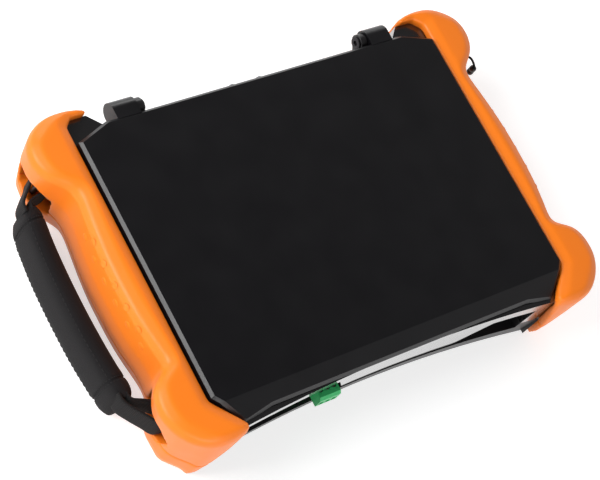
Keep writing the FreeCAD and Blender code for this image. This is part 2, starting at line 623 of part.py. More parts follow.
def slot_cutter(bar_y, way):
    """Strap slot through the outer wall: square toward the waist and pointed toward the corner."""
    near = bar_y - way * 13.5
    points = [(near, SLOT_LOW), (near, SLOT_HIGH - 3.5), (bar_y - way * 6.0, SLOT_HIGH),
              (bar_y + way * 5.0, SLOT_HIGH), (bar_y + way * 12.0, SLOT_HIGH - 6.5),
              (bar_y + way * 7.0, SLOT_LOW + 1.0), (bar_y, SLOT_LOW)]
    face = outline_face([(SLOT_DEPTH_X, y, z) for y, z in points])
    return face.extrude(Vector(30, 0, 0))


def bumper(upper):
    wires = [bumper_wire(level) for level in (UPPER_LEVELS if upper else LOWER_LEVELS)]
    form = Part.makeLoft(wires, True, True)
    form = form.cut(box(0, BUMPER_CAP_X - 1.5, -FAR, FAR, -1, FAR))
    form = form.cut(CASE)
    form = form.cut(cover_room())
    form = form.cut(box(0, CASE_HALF_X - BEVEL_LOW_X, -FAR, FAR, -1, 1.2))
    end = [(0, -1), (BUMPER_CAP_X - 1.5 + CAP_SLANT * CASE_TOP, -1), (BUMPER_CAP_X - 1.5, CASE_TOP),
           (0, CASE_TOP)]
    form = form.cut(outline_face([(x, -FAR, z) for x, z in end]).extrude(Vector(0, FAR, 0)))
    for bar_y, way in ((REAR_BAR_Y, 1), (-FRONT_BAR_Y, -1)):
        form = form.cut(slot_cutter(bar_y, way))
        form = form.cut(strap_bar(bar_y))
    solids = sorted(form.Solids, key=lambda s: -s.Volume)
    return solids[0]


def strap_bar(bar_y):
    return rod(BAR_R, (BAR_X, bar_y, SLOT_LOW - BAR_SEAT), (0, 0, 1),
               SLOT_HIGH - SLOT_LOW + 2 * BAR_SEAT)


# ---------------------------------------------------------------- screen and keys
def touch_glass():
    return rounded_box(GLASS_LEFT, GLASS_LEFT + GLASS_LENGTH, GLASS_MID_Y - GLASS_WIDTH / 2,
                       GLASS_MID_Y + GLASS_WIDTH / 2, DECK_TOP - GLASS_T, DECK_TOP, 2.0)


def display_module():
    return glass_box(-GLASS_LEDGE - 0.3, CARRIER_Z, DECK_TOP - GLASS_T)


def display_carrier():
    plate = glass_box(4.2, CARRIER_Z - 1.2, CARRIER_Z)
    plate = plate.common(box(GLASS_LEFT + 4.5, KEY_BOARD_X0 - 2.6, -FAR, FAR, 0, FAR))
    window = glass_box(-22.0, CARRIER_Z - 2, CARRIER_Z + 1)
    plate = plate.cut(window)
    for x, y in MODULE_POSTS:
        plate = plate.cut(rod(SMALL_SCREW_R + 0.15, (x, y, CARRIER_Z - 3), (0, 0, 1), 6))
    return plate


def inner_screws():
    """Small screws that hold the display carrier and the keypad board up to the front shell."""
    solids = []
    places = [(x, y, CARRIER_Z - 1.2) for x, y in MODULE_POSTS]
    places += [(x, y, KEY_MAT_TOP - MAT_T - BOARD_T) for x, y in KEYPAD_POSTS]
    for x, y, z in places:
        head = rod(1.8, (x, y, z - 1.2), (0, 0, 1), 1.2)
        solids.append(head.fuse(rod(SMALL_SCREW_R, (x, y, z), (0, 0, 1), 4.6)))
    return solids


def key_cap(x, y):
    top = DECK_TOP + KEY_PROUD
    cap = key_block(x, y, 0.0, DECK_UNDER - 0.1 - KEY_FLANGE_T, top)
    rim = [e for e in cap.Edges if all(abs(v.Z - top) < 1e-6 for v in e.Vertexes)]
    cap = cap.makeFillet(0.5, rim)
    flange = key_block(x, y, KEY_FLANGE, DECK_UNDER - 0.1 - KEY_FLANGE_T, DECK_UNDER - 0.1)
    return cap.fuse(flange).removeSplitter()


def keypad_span(hole, z0, z1):
    y0 = KEY_Y0 - KEY_WIDTH / 2 - 3.0
    y1 = KEY_Y0 + (KEY_ROWS - 1) * KEY_PITCH_Y + KEY_WIDTH / 2 + 3.0
    span = box(KEY_BOARD_X0 - 2.0, KEY_BOARD_X1 + 2.0, y0, y1, z0, z1)
    return cut_all(span, [rod(hole, (x, y, z0 - 1), (0, 0, 1), z1 - z0 + 2) for x, y in KEYPAD_POSTS])


# ---------------------------------------------------------------- boards, battery, speaker
def main_board():
    length, width = MAIN_BOARD_SIZE
    board = box(-length / 2, length / 2, -width / 2, width / 2, MAIN_BOARD_Z, MAIN_BOARD_Z + BOARD_T)
    for x, y in MAIN_STANDOFFS:
        board = board.cut(rod(BOARD_HOLE_R, (x, y, MAIN_BOARD_Z - 1), (0, 0, 1), 5))
    return board


def port_board(front):
    if front:
        y0, y1 = -FRONT_PANEL_Y + 0.3, -FRONT_PANEL_Y + PORT_BOARD_DEPTH
        half = FRONT_POCKET_HALF_X - 4.0
        board = box(-half, half, y0, y1, PORT_BOARD_Z, PORT_BOARD_Z + BOARD_T)
        spots = FRONT_STANDOFFS
    else:
        y0, y1 = REAR_PANEL_Y - PORT_BOARD_DEPTH, REAR_PANEL_Y - 0.3
        half = REAR_POCKET_HALF_X - 1.5
        board = box(-half, half, y0, y1, PORT_BOARD_Z, PORT_BOARD_Z + BOARD_T)
        spots = REAR_STANDOFFS
    for x, y in spots:
        board = board.cut(rod(BOARD_HOLE_R, (x, y, PORT_BOARD_Z - 1), (0, 0, 1), 5))
    return board


def board_screws():
    solids = []
    spots = [(x, y, MAIN_BOARD_Z) for x, y in MAIN_STANDOFFS]
    spots += [(x, y, PORT_BOARD_Z) for x, y in FRONT_STANDOFFS + REAR_STANDOFFS]
    for x, y, z in spots:
        head = rod(2.6, (x, y, z + BOARD_T), (0, 0, 1), 1.4)
        solids.append(head.fuse(rod(BOARD_SCREW_R, (x, y, z - 4.5), (0, 0, 1), 4.5 + BOARD_T)))
    return solids


def hexagon(centre, radius, across, upright):
    """Hexagonal outline round a centre, in the plane of two unit directions."""
    corners = []
    for i in range(7):
        angle = math.radians(60 * i)
        corners.append(centre + across * (radius * math.cos(angle)) + upright * (radius * math.sin(angle)))
    return Part.Face(Part.makePolygon(corners))


def case_screws():
    solids = []
    for x, y in CASE_SCREWS:
        low = CASE_HEAD_DEPTH - CASE_HEAD_T
        screw = rod(CASE_HEAD_R, (x, y, low), (0, 0, 1), CASE_HEAD_T)
        screw = screw.fuse(rod(CASE_SCREW_R, (x, y, CASE_HEAD_DEPTH), (0, 0, 1),
                               SEAM + CASE_SCREW_REACH - CASE_HEAD_DEPTH))
        socket = hexagon(Vector(x, y, low - 0.1), 1.2, Vector(1, 0, 0), Vector(0, 1, 0))
        solids.append(screw.cut(socket.extrude(Vector(0, 0, 1.3))))
    return solids


def speaker():
    x, y = SPEAKER_XY
    basket = rod(SPEAKER_R, (x, y, FLOOR), (0, 0, 1), 3.0)
    basket = basket.cut(rod(SPEAKER_R - 1.5, (x, y, FLOOR - 1), (0, 0, 1), 2.0))
    return basket.fuse(rod(6.0, (x, y, FLOOR + 3.0), (0, 0, 1), 3.4))


# ---------------------------------------------------------------- connectors
def between(x, half, face, way, out, depth, low, high):
    """Block centred on x from a little outside a socket's face to a depth behind it."""
    y0, y1 = sorted((face + way * out, face - way * depth))
    return box(x - half, x + half, y0, y1, PORT_Z + low, PORT_Z + high)


def network_jack(x, face, way):
    """Eight-way jack: a metal-clad box with an open front."""
    body = between(x, NETWORK_HALF, face, way, 0.0, 21.0, 0.0, NETWORK_HEIGHT)
    mouth = between(x, 5.9, face, way, 1.0, 12.0, 3.2, 10.2)
    latch = between(x, 3.1, face, way, 1.0, 10.0, 1.0, 3.4)
    return body.cut(mouth.fuse(latch))


def usb_socket(x, face, way):
    body = between(x, USB_HALF, face, way, 0.0, 14.0, 0.0, USB_HEIGHT)
    body = body.cut(between(x, USB_HALF - 0.8, face, way, 1.0, 10.0, 0.9, USB_HEIGHT - 0.9))
    return body.fuse(between(x, 5.4, face, way, -1.0, 10.0, 1.4, 3.0))


def video_socket(x, face, way):
    body = between(x, VIDEO_HALF, face, way, 0.0, 11.0, 0.0, VIDEO_HEIGHT)
    body = body.cut(between(x, VIDEO_HALF - 0.8, face, way, 1.0, 8.0, 0.9, VIDEO_HEIGHT - 0.9))
    return body.fuse(between(x, 5.6, face, way, -1.0, 8.0, 2.6, 3.6))


def power_jack(x):
    z = PORT_Z + POWER_Z
    half = POWER_R + 0.4
    body = box(x - half, x + half, FRONT_FACE + 2.5, FRONT_FACE + 13.0, PORT_Z, z + half)
    nose = rod(POWER_R, (x, FRONT_FACE, z), (0, 1, 0), 3.0)
    body = body.fuse(nose).cut(rod(POWER_R - 1.5, (x, FRONT_FACE - 1, z), (0, 1, 0), 11.0))
    return body.fuse(rod(1.0, (x, FRONT_FACE + 1.0, z), (0, 1, 0), 9.0))


def audio_jack(x):
    z = PORT_Z + AUDIO_Z
    half = AUDIO_R + 0.4
    body = box(x - half, x + half, FRONT_FACE + 2.5, FRONT_FACE + 13.0, PORT_Z, z + AUDIO_R)
    body = body.fuse(rod(AUDIO_R, (x, FRONT_FACE, z), (0, 1, 0), 3.0))
    return body.cut(rod(AUDIO_R - 1.2, (x, FRONT_FACE - 1, z), (0, 1, 0), 12.5))


def coax_socket(x):
    """Bayonet coax socket on the rear panel."""
    z = PORT_Z + COAX_Z
    base = box(x - COAX_HALF, x + COAX_HALF, REAR_FACE - 14.0, REAR_POCKET_Y - PANEL_T - 0.2,
               PORT_Z, PORT_Z + COAX_HEIGHT)
    barrel = rod(COAX_R, (x, REAR_FACE - 3.0, z), (0, 1, 0), 14.2)
    collar = rod(6.4, (x, REAR_POCKET_Y, z), (0, 1, 0), 2.0)
    base = union([base, barrel, collar])
    base = base.cut(rod(COAX_R - 1.3, (x, REAR_FACE + 3.0, z), (0, 1, 0), 12))
    for side in (-1, 1):
        base = base.fuse(rod(1.0, (x, REAR_FACE + 9.0, z), (side, 0, 0), COAX_R + 0.8)
                         .cut(rod(COAX_R - 0.8, (x, REAR_FACE, z), (0, 1, 0), 20)))
    return base.fuse(rod(1.1, (x, REAR_FACE + 2.9, z), (0, 1, 0), 6.5))


TERMINAL_X = -34.2
TERMINAL_WAYS = 3
TERMINAL_PITCH = 3.81
TERMINAL_LENGTH = TERMINAL_WAYS * TERMINAL_PITCH + 0.6
PLUG_DEPTH = 11.2            # how far the plug stands out of the panel
PLUG_LOW = PORT_Z + 4.8
PLUG_HIGH = PLUG_LOW + 7.8
HEADER_HEIGHT = 9.6
HEADER_WALL = 0.8
HEADER_DEPTH = 9.0            # behind the panel
HEADER_BACK = 1.5
PLUG_FIT = 0.2
PLUG_SCREW_Y = FRONT_FACE - 6.0


def terminal_xs():
    first = TERMINAL_X - (TERMINAL_WAYS - 1) / 2 * TERMINAL_PITCH
    return [first + i * TERMINAL_PITCH for i in range(TERMINAL_WAYS)]


def terminal_header():
    half = TERMINAL_LENGTH / 2 + PLUG_FIT + HEADER_WALL
    back = -FRONT_PANEL_Y + HEADER_DEPTH
    body = box(TERMINAL_X - half, TERMINAL_X + half, FRONT_FACE, back, PORT_Z, PORT_Z + HEADER_HEIGHT)
    inner = half - HEADER_WALL
    body = body.cut(box(TERMINAL_X - inner, TERMINAL_X + inner, FRONT_FACE - 1, back - HEADER_BACK,
                        PORT_Z + HEADER_WALL, PORT_Z + HEADER_HEIGHT - HEADER_WALL))
    for x in terminal_xs():
        body = body.fuse(box(x - 0.5, x + 0.5, back - 8.0, back - 1.0,
                             PORT_Z + 3.6, PORT_Z + 4.6))
    return body


def terminal_plug():
    """Pull-off screw plug: its tongue reaches into the header and its block stands out in front."""
    back = -FRONT_PANEL_Y + HEADER_DEPTH - HEADER_BACK - 0.3
    edge = HEADER_WALL + PLUG_FIT
    tongue = box(TERMINAL_X - TERMINAL_LENGTH / 2, TERMINAL_X + TERMINAL_LENGTH / 2,
                 FRONT_FACE - 0.4, back, PORT_Z + edge, PORT_Z + HEADER_HEIGHT - edge)
    front = FRONT_FACE - PLUG_DEPTH
    block = box(TERMINAL_X - TERMINAL_LENGTH / 2 - 0.2, TERMINAL_X + TERMINAL_LENGTH / 2 + 0.2,
                front, FRONT_FACE - 0.4, PLUG_LOW, PLUG_HIGH)
    corner = [(front - 1, PLUG_HIGH - 2.4), (front + 1.4, PLUG_HIGH), (front - 1, PLUG_HIGH)]
    slope = outline_face([(TERMINAL_X - TERMINAL_LENGTH, y, z) for y, z in corner])
    block = block.cut(slope.extrude(Vector(2 * TERMINAL_LENGTH, 0, 0)))
    plug = tongue.fuse(block)
    for x in terminal_xs():
        plug = plug.cut(box(x - 1.3, x + 1.3, front - 1, front + 5.0, PLUG_LOW + 1.0, PLUG_LOW + 3.8))
        plug = plug.cut(rod(1.45, (x, PLUG_SCREW_Y, PLUG_LOW + 4.4), (0, 0, 1), 8))
        plug = plug.cut(box(x - 0.8, x + 0.8, back - 7.5, back + 1, PORT_Z + 3.3,
                            PORT_Z + 4.9))
    return plug.removeSplitter()


def terminal_screws():
    solids = []
    for x in terminal_xs():
        screw = rod(1.4, (x, PLUG_SCREW_Y, PLUG_LOW + 4.4), (0, 0, 1), PLUG_HIGH - PLUG_LOW - 5.0)
        solids.append(screw.cut(box(x - 2, x + 2, PLUG_SCREW_Y - 0.35, PLUG_SCREW_Y + 0.35,
                                    PLUG_HIGH - 1.2, PLUG_HIGH + 1)))
    return solids


FRONT_PORTS = [(-FRONT_POCKET_HALF_X + 16.0, "power"), (-FRONT_POCKET_HALF_X + 33.0, "audio"),
               (TERMINAL_X, "terminal"), (FRONT_POCKET_HALF_X - 27.0, "network"),
               (FRONT_POCKET_HALF_X - 10.4, "usb")]
REAR_PORTS = [(-33.0, "coax"), (-12.0, "coax"), (11.0, "video"), (29.0, "network")]


def port_xs(ports, wanted):
    return [x for x, kind in ports if kind == wanted]


def panel_window(x, kind, y0, y1):
    """Opening in a port panel round one connector."""
    halves = {"network": (NETWORK_HALF, NETWORK_HEIGHT), "usb": (USB_HALF, USB_HEIGHT),
              "video": (VIDEO_HALF, VIDEO_HEIGHT),
              "terminal": (TERMINAL_LENGTH / 2 + PLUG_FIT + HEADER_WALL, HEADER_HEIGHT)}
    if kind in halves:
        half, height = halves[kind]
        return box(x - half - CUT_FIT, x + half + CUT_FIT, y0, y1,
                   PORT_Z - CUT_FIT, PORT_Z + height + CUT_FIT)
    radius, z = {"power": (POWER_R, POWER_Z), "audio": (AUDIO_R, AUDIO_Z),
                 "coax": (COAX_R, COAX_Z)}[kind]
    return rod(radius + CUT_FIT, (x, y0, PORT_Z + z), (0, 1, 0), y1 - y0)


def port_panel(front):
    groove = 0.8
    if front:
        panel = front_pocket(groove, -FRONT_PANEL_Y - 0.05)
        panel = panel.common(box(-FAR, FAR, -FRONT_POCKET_Y + 0.05, 0, 0, FAR))
        ports, y0, y1 = FRONT_PORTS, -FRONT_POCKET_Y - 1, -FRONT_PANEL_Y + 1
    else:
        panel = rear_pocket(groove, REAR_PANEL_Y + 0.05)
        panel = panel.common(box(-FAR, FAR, 0, REAR_POCKET_Y - 0.05, 0, FAR))
        ports, y0, y1 = REAR_PORTS, REAR_PANEL_Y - 1, REAR_POCKET_Y + 1
    for x, kind in ports:
        panel = panel.cut(panel_window(x, kind, y0, y1))
    return panel


def lamp():
    """Two clear torch lamps in the rear wall."""
    solids = []
    for x in LED_XS:
        y0 = REAR_WALL_Y - WALL - 3.0
        y1 = REAR_WALL_Y + 5.0
        body = rod(LED_R, (x, y0, LED_Z), (0, 1, 0), y1 - y0)
        body = body.fuse(Part.makeSphere(LED_R, Vector(x, y1, LED_Z)))
        flange = rod(LED_R + 0.6, (x, y0 - 0.2, LED_Z), (0, 1, 0), 1.2)
        solids.append(body.fuse(flange))
    return solids


# ---------------------------------------------------------------- hand strap
def bow(y):
    """Outward bow of the strap at a place along it."""
    middle = (PAD_REAR_Y - PAD_FRONT_Y) / 2
    half = (PAD_REAR_Y + PAD_FRONT_Y) / 2
    return PAD_BOW * (1 - ((y - middle) / half) ** 2)


def grip_pad():
    """Padded sleeve of the hand strap, standing on edge beside the left bumper."""
    wires = []
    stations = 6
    for i in range(stations + 1):
        y = -PAD_FRONT_Y + (PAD_REAR_Y + PAD_FRONT_Y) * i / stations
        x = -PAD_X + PAD_BOW - bow(y)
        half = PAD_T / 2
        corner = 2.2
        section = [(x - half, PAD_LOW + corner), (x - half + corner, PAD_LOW),
                   (x + half - corner, PAD_LOW), (x + half, PAD_LOW + corner),
                   (x + half, PAD_HIGH - corner), (x + half - corner, PAD_HIGH),
                   (x - half + corner, PAD_HIGH), (x - half, PAD_HIGH - corner)]
        points = [Vector(px, y, pz) for px, pz in section]
        wires.append(Part.makePolygon(points + points[:1]))
    return Part.makeLoft(wires, True, True)


def webbing_loop(bar_y, way):
    """Webbing from the end of the pad round the bar in the slot and back, as a closed flat loop."""
    end_y = PAD_REAR_Y if way > 0 else -PAD_FRONT_Y
    pad_x = -PAD_X + PAD_BOW
    gap = 0.3
    inner_x = -BAR_X + BAR_R + STRAP_SLACK + gap
    outer_x = -BAR_X - BAR_R - gap
    start = end_y + way * 0.3
    far = bar_y + way * (BAR_R + gap)
    outside = [(pad_x - 2.6, start), (outer_x - WEB_T - 1.6, far - way * 3.0),
               (outer_x - WEB_T + 0.6, far + way * WEB_T), (inner_x + WEB_T - 1.0, far + way * WEB_T),
               (inner_x + WEB_T, far - way * 1.0), (inner_x + WEB_T, bar_y - way * 5.2),
               (pad_x + 2.6, start)]
    inside = [(pad_x + 2.6 - WEB_T * 1.2, start), (inner_x, bar_y - way * 5.6),
              (inner_x, far - way * 0.6), (inner_x - 0.6, far), (outer_x, far),
              (outer_x - 1.0, far - way * 3.6), (pad_x - 2.6 + WEB_T * 1.2, start)]
    if way < 0:
        outside, inside = outside, inside
    points = outside + inside
    return plan_prism(points, WEB_LOW, WEB_HIGH)


# ---------------------------------------------------------------- lanyard
LANYARD_R = 0.6
BEAD_LENGTH = 5.6
# Route of the lanyard: outward and rearward of the right rear strap bar, and its height.
LANYARD_STOPS = [(-2.1, -0.1, 21.8), (-1.3, -4.4, 23.6), (2.5, -5.4, 26.4), (6.7, -4.2, 28.4),
                 (11.5, -4.4, 31.0), (15.7, -5.6, 33.2), (18.4, -9.1, 34.6), (17.5, -13.4, 33.4)]
LANYARD_ROUTE = [(BAR_X + out, REAR_BAR_Y + along, SLOT_HIGH - 32.5 + z)
                 for out, along, z in LANYARD_STOPS]


def cord_tube(route, radius):
    """Straight runs joined by tangent arcs, each as large as its two runs allow."""
    points = [Vector(*p) for p in route]
    edges = []
    start = points[0]
    length = 0.0
    for before, corner, after in zip(points, points[1:], points[2:]):
        back = (before - corner).normalize()
        ahead = (after - corner).normalize()
        turn = math.pi - back.getAngle(ahead)
        run = min((before - corner).Length, (after - corner).Length)
        trim = 0.45 * run
        arc_radius = trim / math.tan(turn / 2)
        entry = corner + back * trim
        leave = corner + ahead * trim
        middle_way = (back + ahead).normalize()
        centre = corner + middle_way * (arc_radius / math.cos(turn / 2))
        middle = centre - middle_way * arc_radius
        edges.append(Part.makeLine(start, entry))
        edges.append(Part.Arc(entry, middle, leave).toShape())
        length += (entry - start).Length + arc_radius * turn
        print("cord arc radius", round(arc_radius, 2))
        start = leave
    edges.append(Part.makeLine(start, points[-1]))
    length += (points[-1] - start).Length
    path = Part.Wire(edges)
    first_way = (points[1] - points[0]).normalize()
    ring = Part.Wire(Part.makeCircle(radius, points[0], first_way))
    tube = path.makePipeShell([ring], True, False)
    print("cord volume over section times length",
          round(tube.Volume / (math.pi * radius ** 2 * length), 4))
    return tube


def lanyard_bead():
    x, y, z = LANYARD_ROUTE[-1]
    bead = rod(1.9, (x, y, z - BEAD_LENGTH - LANYARD_R - 0.05), (0, 0, 1), BEAD_LENGTH)
    rim = [e for e in bead.Edges if e.Closed]
    return bead.makeFillet(0.5, rim)


# ---------------------------------------------------------------- build
def antenna():
    x0 = -CASE_HALF_X + WALL + 0.05
    return box(x0, x0 + 0.8, -30.0, 12.0, SEAM + 4.0, SEAM + 13.0)


def build():
    add("back_shell", back_shell())
    add("front_shell", front_shell())
    add("screen_cover", screen_cover())
    for side, word in ((-1, "left"), (1, "right")):
        add(word + "_hinge_bracket", hinge_bracket(side))
        add(word + "_hinge_pin", hinge_pin(side))
    add("hinge_bracket_screws", *bracket_screws())
    for upper, level in ((True, "upper"), (False, "lower")):
        shape = bumper(upper)
        add("right_bumper_" + level, shape)
        add("left_bumper_" + level, mirrored(shape))
    for bar_y, place in ((REAR_BAR_Y, "rear"), (-FRONT_BAR_Y, "front")):
        add("right_strap_bar_" + place, strap_bar(bar_y))
        add("left_strap_bar_" + place, mirrored(strap_bar(bar_y)))
    add("strap_grip_pad", grip_pad())
    add("strap_webbing_rear", webbing_loop(REAR_BAR_Y, 1))
    add("strap_webbing_front", webbing_loop(-FRONT_BAR_Y, -1))
    add("lanyard_cord", cord_tube(LANYARD_ROUTE, LANYARD_R))
    add("lanyard_bead", lanyard_bead())
    add("touch_glass", touch_glass())
    add("display_module", display_module())
    add("display_carrier", display_carrier())
    add("inner_screws", *inner_screws())
    for index, (x, y) in enumerate(key_centres()):
        add("key_%02d" % (index + 1), key_cap(x, y))
    add("keypad_mat", keypad_span(2.2, KEY_MAT_TOP - MAT_T, KEY_MAT_TOP))
    add("keypad_board", keypad_span(0.9, KEY_MAT_TOP - MAT_T - BOARD_T, KEY_MAT_TOP - MAT_T))
    add("main_board", main_board())
    add("front_port_board", port_board(True))
    add("rear_port_board", port_board(False))
    add("board_screws", *board_screws())
    add("case_screws", *case_screws())
    length, width, height = BATTERY_SIZE
    add("battery_pack", box(-length / 2, length / 2, -width / 2, width / 2, FLOOR, FLOOR + height))
    add("speaker", speaker())
    add("wireless_antenna", antenna())
    add("front_port_panel", port_panel(True))
    add("rear_port_panel", port_panel(False))
    jacks = [network_jack(x, FRONT_FACE, -1) for x in port_xs(FRONT_PORTS, "network")]
    jacks += [network_jack(x, REAR_FACE, 1) for x in port_xs(REAR_PORTS, "network")]
    add("network_jacks", *jacks)
    add("power_jack", *[power_jack(x) for x in port_xs(FRONT_PORTS, "power")])
    add("audio_jack", *[audio_jack(x) for x in port_xs(FRONT_PORTS, "audio")])
    add("coax_sockets", *[coax_socket(x) for x in port_xs(REAR_PORTS, "coax")])
    add("usb_socket", *[usb_socket(x, FRONT_FACE, -1) for x in port_xs(FRONT_PORTS, "usb")])
    add("video_socket", *[video_socket(x, REAR_FACE, 1) for x in port_xs(REAR_PORTS, "video")])
    add("terminal_header", terminal_header())
    add("terminal_plug", terminal_plug())
    add("terminal_screws", *terminal_screws())
    add("torch_lamps", *lamp())
    for name, shape in NODES.items():
        valid = shape.isValid() and all(s.Volume > 0 for s in shape.Solids)
        if not valid or not shape.Solids:
            print("CHECK", name, shape.isValid(), [round(s.Volume, 1) for s in shape.Solids])
        shape.exportStep("parts/%s.step" % name)
    print(len(NODES), "nodes")


build()
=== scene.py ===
import json
import math

import bmesh
import bpy
from mathutils import Matrix, Vector

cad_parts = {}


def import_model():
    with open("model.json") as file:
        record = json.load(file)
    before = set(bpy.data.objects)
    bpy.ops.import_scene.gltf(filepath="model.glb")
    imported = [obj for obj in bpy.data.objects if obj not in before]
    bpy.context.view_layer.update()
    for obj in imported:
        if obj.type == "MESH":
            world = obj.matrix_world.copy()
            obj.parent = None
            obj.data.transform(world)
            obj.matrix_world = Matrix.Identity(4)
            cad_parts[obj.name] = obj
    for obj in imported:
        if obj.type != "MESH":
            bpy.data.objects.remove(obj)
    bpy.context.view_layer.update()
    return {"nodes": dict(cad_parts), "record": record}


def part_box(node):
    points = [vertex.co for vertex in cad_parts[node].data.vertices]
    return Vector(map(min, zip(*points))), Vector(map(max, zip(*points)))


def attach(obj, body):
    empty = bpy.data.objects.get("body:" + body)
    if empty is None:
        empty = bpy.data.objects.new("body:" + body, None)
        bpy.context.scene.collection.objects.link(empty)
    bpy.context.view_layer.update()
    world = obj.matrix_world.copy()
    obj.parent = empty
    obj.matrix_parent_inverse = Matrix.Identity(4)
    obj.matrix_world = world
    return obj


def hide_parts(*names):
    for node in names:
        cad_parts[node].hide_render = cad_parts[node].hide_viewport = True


# Handheld camera tester: orange rubber bumpers round a black case, a flip cover, a hand strap on the
# left end and a short lanyard in the right rear slot. Lengths are metres; MM turns mm into metres.

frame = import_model()
nodes = frame["nodes"]
MM = 0.001
LEFT, RIGHT = -1, 1


# ------------------------------------------------------------------ camera
CAMERA_LENS = 121.74                     # focal length in mm on a 36 mm wide sensor
CAMERA_PLACE = (-0.5465, -0.24102, 0.82464)
CAMERA_RIGHT = (0.79289, -0.46278, 0.39642)
CAMERA_BACK = (-0.54254, -0.23995, 0.80503)


def camera():
    data = bpy.data.cameras.new("camera")
    data.sensor_width = 36.0
    data.lens = CAMERA_LENS
    data.clip_start = 0.05
    data.clip_end = 20.0
    eye = bpy.data.objects.new("camera", data)
    bpy.context.scene.collection.objects.link(eye)
    right = Vector(CAMERA_RIGHT).normalized()
    back = Vector(CAMERA_BACK).normalized()
    up = back.cross(right).normalized()
    turn = Matrix((right, up, back)).transposed().to_4x4()
    eye.matrix_world = Matrix.Translation(CAMERA_PLACE) @ turn
    bpy.context.scene.camera = eye


camera()


# ------------------------------------------------------------------ shader maths
class Wire:
    """One shader socket, with arithmetic that adds Math nodes."""

    def __init__(self, paint, socket):
        self.paint = paint
        self.socket = socket

    def maths(self, operation, first, second):
        return self.paint.node("ShaderNodeMath", {"operation": operation}, {0: first, 1: second})

    def __add__(self, other):
        return self.maths("ADD", self, other)

    __radd__ = __add__

    def __mul__(self, other):
        return self.maths("MULTIPLY", self, other)

    __rmul__ = __mul__


class Paint:
    """A material being built round one Principled shader."""

    def __init__(self, name):
        self.material = bpy.data.materials.new(name)
        self.material.use_nodes = True
        self.tree = self.material.node_tree
        self.shader = self.tree.nodes["Principled BSDF"]
        self.place = self.node("ShaderNodeTexCoord", {}, {}, "Object")

    def node(self, kind, settings, sockets, output=0):
        """Adds a node of any type: its settings first, then the values or links of its sockets."""
        made = self.tree.nodes.new(kind)
        for key, value in settings.items():
            if key == "stops":
                ramp = made.color_ramp.elements
                while len(ramp) < len(value):
                    ramp.new(0.5)
                for stop, (position, shade) in zip(ramp, value):
                    stop.position = position
                    stop.color = (*shade, 1.0)
            else:
                setattr(made, key, value)
        for key, value in sockets.items():
            self.plug(made.inputs[key], value)
        return Wire(self, made.outputs[output])

    def plug(self, socket, value):
        if isinstance(value, Wire):
            self.tree.links.new(value.socket, socket)
        elif hasattr(value, "__len__") and len(value) == 3 and socket.type == "RGBA":
            socket.default_value = (*value, 1.0)
        else:
            socket.default_value = value

    def noise(self, scale, detail=3.0, rough=0.5, place=None):
        return self.node("ShaderNodeTexNoise", {}, {"Vector": place or self.place, "Scale": scale,
                                                    "Detail": detail, "Roughness": rough})

    def stretched(self, scale):
        return self.node("ShaderNodeMapping", {}, {"Vector": self.place, "Scale": scale})

    def mix(self, factor, first, second):
        made = self.tree.nodes.new("ShaderNodeMix")
        made.data_type = "RGBA"
        for name, value in (("Factor", factor), ("A", first), ("B", second)):
            socket = next(s for s in made.inputs if s.name == name and s.enabled)
            self.plug(socket, value)
        return Wire(self, next(s for s in made.outputs if s.enabled))

    def bump(self, height, strength, distance=0.001):
        return self.node("ShaderNodeBump", {}, {"Height": height, "Strength": strength,
                                                "Distance": distance})

    def done(self, **sockets):
        for name, value in sockets.items():
            self.plug(self.shader.inputs[name.replace("_", " ")], value)
        return self.material


def moulded(name, shade, roughness, grain=900.0, grain_depth=0.06, specular=0.5, variation=0.12,
            coat=0.0):
    """Moulded plastic or rubber with a fine grain and slight changes of gloss and shade."""
    paint = Paint(name)
    cloud = paint.noise(18.0)
    darker = [c * (1 - variation) for c in shade]
    lighter = [min(1.0, c * (1 + variation)) for c in shade]
    return paint.done(Base_Color=paint.mix(cloud, darker, lighter),
                      Roughness=paint.noise(60.0) * 0.12 + (roughness - 0.06),
                      Specular_IOR_Level=specular, Coat_Weight=coat, Coat_Roughness=0.12,
                      Normal=paint.bump(paint.noise(grain, 2.0), grain_depth, 0.0004))


def metal(name, shade, roughness, stretch=(900.0, 40.0, 40.0)):
    """Plated or brushed metal with fine drawn lines."""
    paint = Paint(name)
    lines = paint.noise(1.0, 4.0, 0.6, paint.stretched(stretch))
    return paint.done(Base_Color=paint.mix(lines, [c * 0.8 for c in shade], shade),
                      Metallic=1.0,
                      Roughness=lines * 0.25 + (roughness - 0.12),
                      Normal=paint.bump(lines, 0.05, 0.0003))


def clear(name, shade):
    """Glass or clear plastic with faint smears."""
    paint = Paint(name)
    return paint.done(Base_Color=shade, Roughness=paint.noise(40.0) * 0.06 + 0.04,
                      Transmission_Weight=0.85, IOR=1.5)


def woven(name, shade, pitch):
    """Plain weave: two crossing sets of yarns, with a little fuzz and wear, and painted shade that darkens
    the low places of the weave.
    """
    paint = Paint(name)
    yarn = 2 * math.pi / pitch
    split = paint.node("ShaderNodeSeparateXYZ", {}, {"Vector": paint.place}).socket.node
    across = Wire(paint, split.outputs["Z"])
    length = Wire(paint, split.outputs["Y"])
    warp = paint.node("ShaderNodeMath", {"operation": "SINE"}, {0: across * yarn})
    weft = paint.node("ShaderNodeMath", {"operation": "SINE"}, {0: length * yarn})
    height = warp * weft * 0.5 + 0.5
    fuzz = paint.noise(1400.0, 4.0, 0.7)
    cloud = paint.noise(30.0)
    pale = paint.mix(cloud * 0.6, shade, [min(1.0, c * 1.7 + 0.0015) for c in shade])
    # painted shade: the colour darkens where the weave lies low, between the yarns; the cloud above is
    # random tone
    colour = paint.mix(height * 0.5, [c * 0.55 for c in shade], pale)
    return paint.done(Base_Color=colour, Roughness=fuzz * 0.2 + 0.7,
                      Sheen_Weight=0.04, Sheen_Roughness=0.5, Specular_IOR_Level=0.15,
                      Normal=paint.bump(height + fuzz * 0.5, 0.5, 0.0003))


